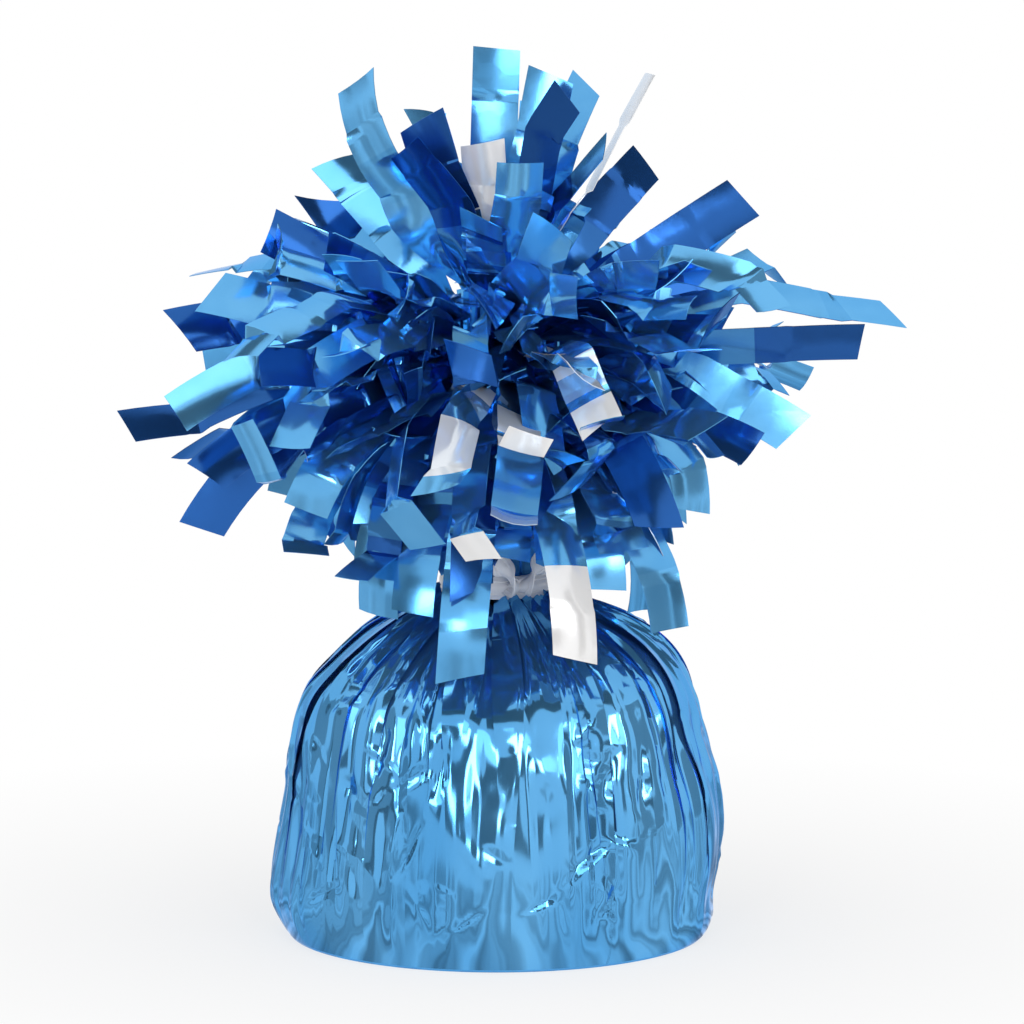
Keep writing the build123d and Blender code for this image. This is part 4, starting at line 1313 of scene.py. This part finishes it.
def tie_solid():
    """The loop of the tie round the neck, and its two ends that leave the knot as a V."""
    solid = Solid()
    ring_radius = (TIE_INNER + TIE_OUTER) / 2.0
    angle = full_turn(LOOP_STEPS)
    out = round_points(1.0, angle, np.zeros_like(angle))
    loop = tie_rings(out * ring_radius + UP * TIE_HEIGHT, np.tile(UP, (len(angle), 1)), out)
    solid.add_hoop(spun(loop.reshape(-1, 3)).reshape(loop.shape)[:, ::-1])
    for side in (-1.0, 1.0):
        lean = math.radians(side * TIE_TAIL_SPREAD)
        along = np.array((math.sin(lean), 0.0, math.cos(lean)))
        start = np.array((0.0, -TIE_OUTER - TIE_KNOT_LENGTH + KNOT_IN, TIE_HEIGHT))
        t = np.linspace(0.0, 1.0, KNOT_STEPS)[:, None]
        hold = np.array((side * KNOT_HALF, -TIE_OUTER + KNOT_OUT, TIE_HEIGHT))
        far = start + along * TIE_WIDTH * KNOT_REACH
        turn = (1.0 - t) ** 2 * hold + 2.0 * t * (1.0 - t) * (start - along * KNOT_PULL) + t ** 2 * far
        rest = TIE_TAIL_LENGTH - TIE_WIDTH * KNOT_REACH
        straight = far + along * np.linspace(0.0, rest, TAIL_STEPS)[1:, None]
        path = np.concatenate([turn, straight])
        heading = unit(np.gradient(path, axis=0))
        flat = np.array((math.cos(lean), 0.0, -math.sin(lean)))
        blend = smooth(np.linspace(0.0, UNTWIST_RATE, len(path)))[:, None]
        spin = side * math.radians(KNOT_TWIST) * (1.0 - blend)
        wide = flat * np.cos(spin) + np.cross(heading, flat) * np.sin(spin)
        wide = unit(wide - heading * np.sum(wide * heading, axis=1, keepdims=True))
        rings = tie_rings(path, wide, np.cross(heading, wide))
        solid.add_column(spun(rings.reshape(-1, 3)).reshape(rings.shape)[:, ::-1])
    return solid


# Sand, bag and band inside the wrap: radius at the poles and shoulder of the heap, and the bag's gathered end
# as shares of its neck and rises above the sand
POLE_RADIUS = 0.3
HEAP_SHOULDER = 12.0
HEAP_RISE = 0.7
BAG_END_SHARES = (1.3, 0.75, 0.7, 0.85, 1.0)
BAG_GATHER_RISE = 1.2
BAG_FLARE_RISE = 6.2
BAG_FILM = 0.12
# Heights of the heap's and the bag's floor, and of their tops above the sand
HEAP_FLOOR, HEAP_TOP = 1.3, -0.3
BAG_FLOOR, BAG_TOP = 0.85, 0.5
BAG_NECK_START = 0.4
# Depth of the lumps, and the height over which the gathered folds grow
LUMP_DEPTH = 0.8
GATHER_GROWTH = 6.0
# Skins of the heap and the bag: mesh rows and columns, seed, and count, size and tilt of the lumps
HEAP_SKIN = {"rows": 90, "columns": 150, "seed": 5, "facets": 260, "wide": 4.0, "tilt": 0.10}
BAG_SKIN = {"rows": 120, "columns": 220, "seed": 9, "facets": 420, "wide": 3.4, "tilt": 0.16, "gather": 0.5}


def heap_profile(inset, floor, top, neck_radius=0.0, neck_top=0.0):
    """Radius and height of a fill inside the wrap, with a low heap or a gathered neck on top."""
    z = np.linspace(floor, SAND_HEIGHT, 300)
    radius = np.concatenate([[POLE_RADIUS], cavity_radius(z) - inset])
    height = np.concatenate([[floor], z])
    if neck_top:
        end_radius = neck_radius * np.array(BAG_END_SHARES)
        end_height = (top, top + BAG_GATHER_RISE, top + BAG_NECK_LENGTH / 2.0, top + BAG_FLARE_RISE, neck_top)
    else:
        end_radius = (HEAP_SHOULDER, POLE_RADIUS)
        end_height = (top - HEAP_RISE, top)
    return np.concatenate([radius, end_radius]), np.concatenate([height, end_height])


def lumpy_grid(profile, rows, columns, seed, facets, wide, tilt, gather=0.0):
    """A turned skin with soft lumps or crinkles, its columns anticlockwise."""
    rng = np.random.default_rng(seed)
    radius, height, way = even_profile(*profile, rows)
    angle = np.repeat(full_turn(columns)[None], rows, axis=0)
    over = np.repeat(way[:, None], columns, axis=1)
    lump = facet_field(angle, over, rng, facets, wide, wide, tilt)
    lump = np.clip(lump - np.percentile(lump, 97), -LUMP_DEPTH, 0.0) * smooth((radius - 1.0) / 6.0)[:, None]
    ripple = np.sin(13.0 * angle + 2.0 * np.sin(3.0 * angle))
    folds = gather * ripple * smooth((height - SAND_HEIGHT) / GATHER_GROWTH)[:, None]
    around = radius[:, None] + lump + folds * np.minimum(1.0, radius / 8.0)[:, None]
    level = np.repeat(height[:, None], columns, axis=1)
    return round_points(around, angle, level)


# Elastic band: its section, mesh steps, and lift and phase of its two turns
BAND_SECTION = ((-0.5, -0.3), (-0.38, -0.4), (0.38, -0.4), (0.5, -0.3),
                (0.5, 0.3), (0.38, 0.4), (-0.38, 0.4), (-0.5, 0.3))
BAND_STEPS = 96
BAND_TURNS = ((-0.42, 0.4), (0.42, 3.4))


def band_solid():
    """Two turns of a flat elastic band, pulled tight."""
    solid = Solid()
    angle = full_turn(BAND_STEPS)
    out = round_points(1.0, angle, np.zeros_like(angle))
    for lift, phase in BAND_TURNS:
        level = SAND_HEIGHT + SAND_CROWN + BAG_NECK_START + BAG_NECK_LENGTH / 2.0 + lift
        waver = 0.16 * np.sin(angle + phase) + 0.08 * np.sin(3.0 * angle + phase)
        middle = out * (BAG_NECK_RADIUS + BAND_THICKNESS / 2.0 + 0.05 * np.cos(2.0 * angle))[:, None]
        middle = middle + UP * (level + waver)[:, None]
        rings = [[m + o * x + UP * y for x, y in BAND_SECTION] for m, o in zip(middle, out)]
        solid.add_hoop(np.array(rings))
    return solid


# Softboxes: azimuth from the camera's side, elevation, width, height and power
SOFTBOX_DISTANCE = 0.75
SOFTBOXES = (
    ("left_softbox", -30.0, 20.0, 0.30, 0.24, 0.32),
    ("right_softbox", 31.0, 19.0, 0.26, 0.22, 0.25),
    ("top_softbox", -6.0, 74.0, 0.60, 0.34, 0.78),
    ("left_lamp", -15.0, 14.0, 0.13, 0.19, 0.60),
    ("right_lamp", 13.0, 15.0, 0.13, 0.20, 0.62),
    ("far_left_lamp", -52.0, 13.0, 0.07, 0.15, 0.26),
    ("far_right_lamp", 47.0, 13.0, 0.07, 0.15, 0.26),
)

# Cards that the film mirrors: azimuth, elevation, width, height and tone
CARD_DISTANCE = 0.95
CARDS = (
    ("card_camera", -1.0, 11.0, 0.22, 0.20, 0.10),
    ("card_left_low", -30.0, 6.0, 0.22, 0.14, 0.12),
    ("card_right_low", 29.0, 6.0, 0.20, 0.14, 0.12),
    ("card_front_high", 2.0, 47.0, 0.80, 0.30, 0.06),
    ("card_left", -84.0, 14.0, 0.62, 0.70, 0.42),
    ("card_right", 86.0, 14.0, 0.56, 0.70, 0.36),
    ("card_left_gap", -63.0, 10.0, 0.16, 0.60, 0.10),
    ("card_right_gap", 60.0, 12.0, 0.16, 0.60, 0.10),
    ("card_ceiling", 180.0, 84.0, 0.70, 0.40, 0.08),
    ("card_back_left", -140.0, 30.0, 0.36, 0.50, 0.14),
    ("card_back_right", 142.0, 26.0, 0.36, 0.50, 0.16),
)

# A glowing ring round the foot that only the film mirrors, its glow mottled round the foot
GLOW_RING_NEAR = 0.0332
GLOW_RING_FAR = 0.60
GLOW_RING_LIFT = 0.0004
GLOW_RING_STRENGTHS = (0.32, 1.03)
GLOW_RING_STEPS = 96
GLOW_RING_MOTTLE = 9.0
MOTTLE_RANGE = (0.34, 0.62)

# Pale floor: its reach, sides and colour, and how its glow grows with the distance from the foot
FLOOR_REACH = 4.0
FLOOR_SIDES = 64
FLOOR_COLOUR = (0.86, 0.86, 0.86, 1.0)
FLOOR_GLOW = (0.04, 0.16, 0.72, 1.0)
WHITE = (1.0, 1.0, 1.0, 1.0)
LIT_POINT = (0.0, 0.0, 0.07)


# Operators, one for each piece or group of like pieces
class WEIGHT_OT_stage(bpy.types.Operator):
    """Sets up the camera, the pale floor and soft studio light"""
    bl_idname = "weight.stage"
    bl_label = "Stage"

    def execute(self, context):
        scene = context.scene
        settings = scene.weight_stage
        scene.view_settings.view_transform = "Standard"
        self.camera(scene, settings)
        self.world(scene, settings)
        self.floor(scene)
        self.lamps(scene)
        self.cards(scene)
        self.glow_ring(scene)
        return {"FINISHED"}

    def camera(self, scene, settings):
        data = bpy.data.cameras.new("camera")
        data.lens = settings.lens
        data.sensor_width = 36.0
        data.clip_start = 0.01
        eye = bpy.data.objects.new("camera", data)
        scene.collection.objects.link(eye)
        away = Vector((0.0, -math.cos(settings.elevation), math.sin(settings.elevation)))
        eye.location = Vector(settings.aim) + away * settings.distance
        eye.rotation_euler = (-away).to_track_quat("-Z", "Y").to_euler()
        scene.camera = eye

    def seen_directly(self, tree):
        """One for rays that show a thing, nought for rays that only carry light."""
        path = add_node(tree, "ShaderNodeLightPath").outputs
        shown = reckoned(tree, "MAXIMUM", path["Is Camera Ray"], path["Is Glossy Ray"])
        return reckoned(tree, "MAXIMUM", shown, path["Is Transmission Ray"])

    def world(self, scene, settings):
        world = bpy.data.worlds.new("studio")
        scene.world = world
        world.use_nodes = True
        tree = world.node_tree
        tree.nodes.clear()
        lit = add_node(tree, "ShaderNodeBackground", Color=WHITE, Strength=settings.fill)
        seen = add_node(tree, "ShaderNodeBackground", Color=WHITE, Strength=1.0)
        share = self.seen_directly(tree)
        both = shader_mix(tree, share, lit.outputs["Background"], seen.outputs["Background"])
        add_node(tree, "ShaderNodeOutputWorld", Surface=both)

    def floor(self, scene):
        mesh = bpy.data.meshes.new("floor")
        corners = round_points(FLOOR_REACH, full_turn(FLOOR_SIDES), np.zeros(FLOOR_SIDES)).tolist()
        mesh.from_pydata(corners, [], [tuple(range(len(corners)))])
        floor = bpy.data.objects.new("floor", mesh)
        scene.collection.objects.link(floor)
        material, tree, shader = new_material("pale_floor")
        shader.inputs["Base Color"].default_value = FLOOR_COLOUR
        shader.inputs["Roughness"].default_value = 0.9
        shader.inputs["Specular IOR Level"].default_value = 0.0
        glow = add_node(tree, "ShaderNodeEmission", Color=WHITE, Strength=1.0)
        way = add_node(tree, "ShaderNodeVectorMath")
        way.operation = "LENGTH"
        tree.links.new(object_place(tree), way.inputs[0])
        fade = mapped(tree, way.outputs["Value"], *FLOOR_GLOW)
        share = reckoned(tree, "MULTIPLY", self.seen_directly(tree), fade)
        both = shader_mix(tree, share, shader.outputs["BSDF"], glow.outputs["Emission"])
        output = next(node for node in tree.nodes if node.type == "OUTPUT_MATERIAL")
        tree.links.new(both, output.inputs["Surface"])
        mesh.materials.append(material)

    def aimed(self, made, azimuth, elevation, distance, scene):
        """Stands a lamp or card at a direction from the object, facing it. Azimuth 0 is the camera's side."""
        a, e = math.radians(azimuth), math.radians(elevation)
        out = Vector((math.sin(a) * math.cos(e), -math.cos(a) * math.cos(e), math.sin(e)))
        made.location = Vector(LIT_POINT) + out * distance
        made.rotation_euler = (-out).to_track_quat("-Z", "Y").to_euler()
        scene.collection.objects.link(made)

    def lamps(self, scene):
        for name, azimuth, elevation, wide, tall, power in SOFTBOXES:
            data = bpy.data.lights.new(name, "AREA")
            data.shape = "RECTANGLE"
            data.size, data.size_y = wide, tall
            data.energy = power
            self.aimed(bpy.data.objects.new(name, data), azimuth, elevation, SOFTBOX_DISTANCE, scene)

    def mirrored(self, name, corners, faces):
        """A glowing card that is seen in reflections alone, and its light."""
        material = bpy.data.materials.new(name)
        material.use_nodes = True
        tree = material.node_tree
        tree.nodes.clear()
        glow = add_node(tree, "ShaderNodeEmission", Color=WHITE)
        output = tree.nodes.new("ShaderNodeOutputMaterial")
        tree.links.new(glow.outputs["Emission"], output.inputs["Surface"])
        mesh = bpy.data.meshes.new(name)
        mesh.from_pydata(corners, [], faces)
        mesh.materials.append(material)
        card = bpy.data.objects.new(name, mesh)
        card.visible_camera = False
        card.visible_diffuse = False
        card.visible_shadow = False
        return card, tree, glow.inputs["Strength"]

    def cards(self, scene):
        """Grey and dark cards that the film mirrors, out of the camera's sight."""
        for name, azimuth, elevation, wide, tall, tone in CARDS:
            x, y = wide / 2.0, tall / 2.0
            card, _, strength = self.mirrored(name, [(-x, -y, 0.0), (x, -y, 0.0), (x, y, 0.0), (-x, y, 0.0)],
                                              [(0, 1, 2, 3)])
            strength.default_value = tone
            self.aimed(card, azimuth, elevation, CARD_DISTANCE, scene)

    def glow_ring(self, scene):
        """A glowing ring whose glow changes round the foot, seen in reflections alone."""
        edges = [round_points(reach, full_turn(GLOW_RING_STEPS), np.full(GLOW_RING_STEPS, GLOW_RING_LIFT))
                 for reach in (GLOW_RING_NEAR, GLOW_RING_FAR)]
        index = np.arange(2 * GLOW_RING_STEPS).reshape(2, GLOW_RING_STEPS)
        faces = grid_quads(np.concatenate([index, index[:, :1]], axis=1)).tolist()
        ring, tree, strength = self.mirrored("mirrored_glow_ring", np.concatenate(edges).tolist(), faces)
        toward = add_node(tree, "ShaderNodeVectorMath")
        toward.operation = "NORMALIZE"
        tree.links.new(object_place(tree), toward.inputs[0])
        mottle = add_node(tree, "ShaderNodeTexNoise", Vector=toward.outputs["Vector"], Scale=GLOW_RING_MOTTLE,
                          Detail=2.5)
        tree.links.new(mapped(tree, mottle.outputs["Fac"], *MOTTLE_RANGE, *GLOW_RING_STRENGTHS), strength)
        scene.collection.objects.link(ring)


class WEIGHT_OT_sand(bpy.types.Operator):
    """Makes the heap of sand, the clear bag that holds it and the band that closes the bag"""
    bl_idname = "weight.sand"
    bl_label = "Sand, bag and band"

    def execute(self, context):
        finish = context.scene.weight_finish
        top = SAND_HEIGHT + SAND_CROWN
        heap = Solid()
        profile = heap_profile(BAG_INSET + SAND_INSET, HEAP_FLOOR, top + HEAP_TOP)
        heap.add_column(lumpy_grid(profile, **HEAP_SKIN))
        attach(heap.piece("sand_heap", sand_material(finish), "sand", ["sand_fill"]), "base")
        bag = Solid()
        profile = heap_profile(BAG_INSET, BAG_FLOOR, top + BAG_TOP, BAG_NECK_RADIUS,
                               top + BAG_NECK_START + BAG_NECK_LENGTH)
        bag.add_film(lumpy_grid(profile, **BAG_SKIN)[:, ::-1], BAG_FILM, joined=True, capped=True)
        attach(bag.piece("sand_bag_film", bag_material(), "clear_film", ["sand_bag"]), "base")
        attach(band_solid().piece("bag_elastic", band_material(), "elastic", ["bag_band"]), "base")
        return {"FINISHED"}


class WEIGHT_OT_wrap(bpy.types.Operator):
    """Makes the film wrap: one sheet drawn up round the bag and gathered in pleats at the neck"""
    bl_idname = "weight.wrap"
    bl_label = "Film wrap"

    def execute(self, context):
        settings = context.scene.weight_body
        wrap = Solid()
        wrap.add_film(wrap_grid(settings), settings.film / MM, joined=True, capped=True)
        foil = foil_material("wrap_foil", context.scene.weight_finish, (1.0, 1.0, 0.3), 0.10, 0.10)
        made = wrap.piece("wrap_film", foil, "blue_foil", ["foil_wrap"], sharp=50.0)
        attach(made, "base")
        return {"FINISHED"}


class WEIGHT_OT_neck(bpy.types.Operator):
    """Makes the gathered neck, the throat above it and the stalk inside the tuft"""
    bl_idname = "weight.neck"
    bl_label = "Neck and stalk"

    def execute(self, context):
        heights, rings = neck_rings()
        foil = foil_material("neck_foil", context.scene.weight_finish, (1.0, 1.0, 0.3), 0.12, 0.12)
        for name, node, low, high in (("neck_film", "foil_neck", NECK_HEIGHT, NECK_TOP),
                                      ("throat_film_low", "foil_throat", NECK_TOP, THROAT_MIDDLE),
                                      ("throat_film_high", "foil_throat", THROAT_MIDDLE, THROAT_TOP),
                                      ("stalk_film", "foil_stalk", THROAT_TOP, PANEL_TOP)):
            solid = Solid()
            solid.add_column(rings[(heights >= low - 1e-6) & (heights <= high + 1e-6)])
            made = solid.piece(name, foil, "blue_foil", [node])
            if name == "throat_film_low":
                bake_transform(made)
            elif name == "throat_film_high":
                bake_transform(made)
            else:
                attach(made, "base" if node == "foil_neck" else "tuft")
        return {"FINISHED"}


class WEIGHT_OT_tie(bpy.types.Operator):
    """Makes the ribbed twist tie round the neck and finishes the wire inside it"""
    bl_idname = "weight.tie"
    bl_label = "Twist tie"

    def execute(self, context):
        film = tie_material(context.scene.weight_finish)
        made = tie_solid().piece("twist_tie_film", film, "white_tie", ["twist_tie"])
        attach(made, "base")
        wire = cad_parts["tie_wire"]
        wire.data.materials.clear()
        wire.data.materials.append(wire_material())
        return {"FINISHED"}


class WEIGHT_OT_panels(bpy.types.Operator):
    """Makes the eight fringe panels and the skirt that hangs below each one"""
    bl_idname = "weight.panels"
    bl_label = "Fringe panels"

    def execute(self, context):
        settings = context.scene.weight_tuft
        foil = tuft_foil(context)
        for panel, name in enumerate(PANEL_NAMES):
            hanging = skirt_solid(settings, panel)
            skirt = hanging.piece("skirt_strips_" + name, foil, "blue_foil", ["skirt_" + name])
            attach(skirt, "panel_" + name)
            fanned = fringe_solid(settings, panel)
            fringe = fanned.piece("fringe_strips_" + name, foil, "blue_foil", ["fringe_" + name])
            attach(fringe, "panel_" + name)
        return {"FINISHED"}


class WEIGHT_OT_crown(bpy.types.Operator):
    """Makes the upright crown of strips at the top of the tuft"""
    bl_idname = "weight.crown"
    bl_label = "Crown"

    def execute(self, context):
        solid = crown_solid(context.scene.weight_tuft)
        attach(solid.piece("crown_strips", tuft_foil(context), "blue_foil", ["fringe_crown"]), "tuft")
        return {"FINISHED"}


class VIEW3D_PT_weight(bpy.types.Panel):
    """Lists the pieces of the balloon weight"""
    bl_label = "Balloon weight"
    bl_space_type = "VIEW_3D"
    bl_region_type = "UI"
    bl_category = "Weight"

    def draw(self, context):
        layout = self.layout
        for operator in OPERATORS:
            layout.operator(operator.bl_idname)
        for name in GROUPS:
            box = layout.box()
            settings = getattr(context.scene, name)
            for prop in settings.bl_rna.properties:
                if prop.identifier not in {"rna_type", "name"}:
                    box.prop(settings, prop.identifier)


OPERATORS = (WEIGHT_OT_stage, WEIGHT_OT_sand, WEIGHT_OT_wrap, WEIGHT_OT_neck, WEIGHT_OT_tie, WEIGHT_OT_panels,
             WEIGHT_OT_crown)
GROUPS = {"weight_body": WeightBody, "weight_tuft": WeightTuft, "weight_finish": WeightFinish,
          "weight_stage": WeightStage}


def register():
    for cls in (*GROUPS.values(), *OPERATORS, VIEW3D_PT_weight):
        bpy.utils.register_class(cls)
    for name, cls in GROUPS.items():
        setattr(bpy.types.Scene, name, PointerProperty(type=cls))


def unregister():
    for name in GROUPS:
        delattr(bpy.types.Scene, name)
    for cls in reversed((*GROUPS.values(), *OPERATORS, VIEW3D_PT_weight)):
        bpy.utils.unregister_class(cls)


def main():
    register()
    bpy.ops.weight.stage()
    bpy.ops.weight.sand()
    bpy.ops.weight.wrap()
    bpy.ops.weight.neck()
    bpy.ops.weight.tie()
    bpy.ops.weight.panels()
    bpy.ops.weight.crown()


if __name__ == "__main__":
    main()
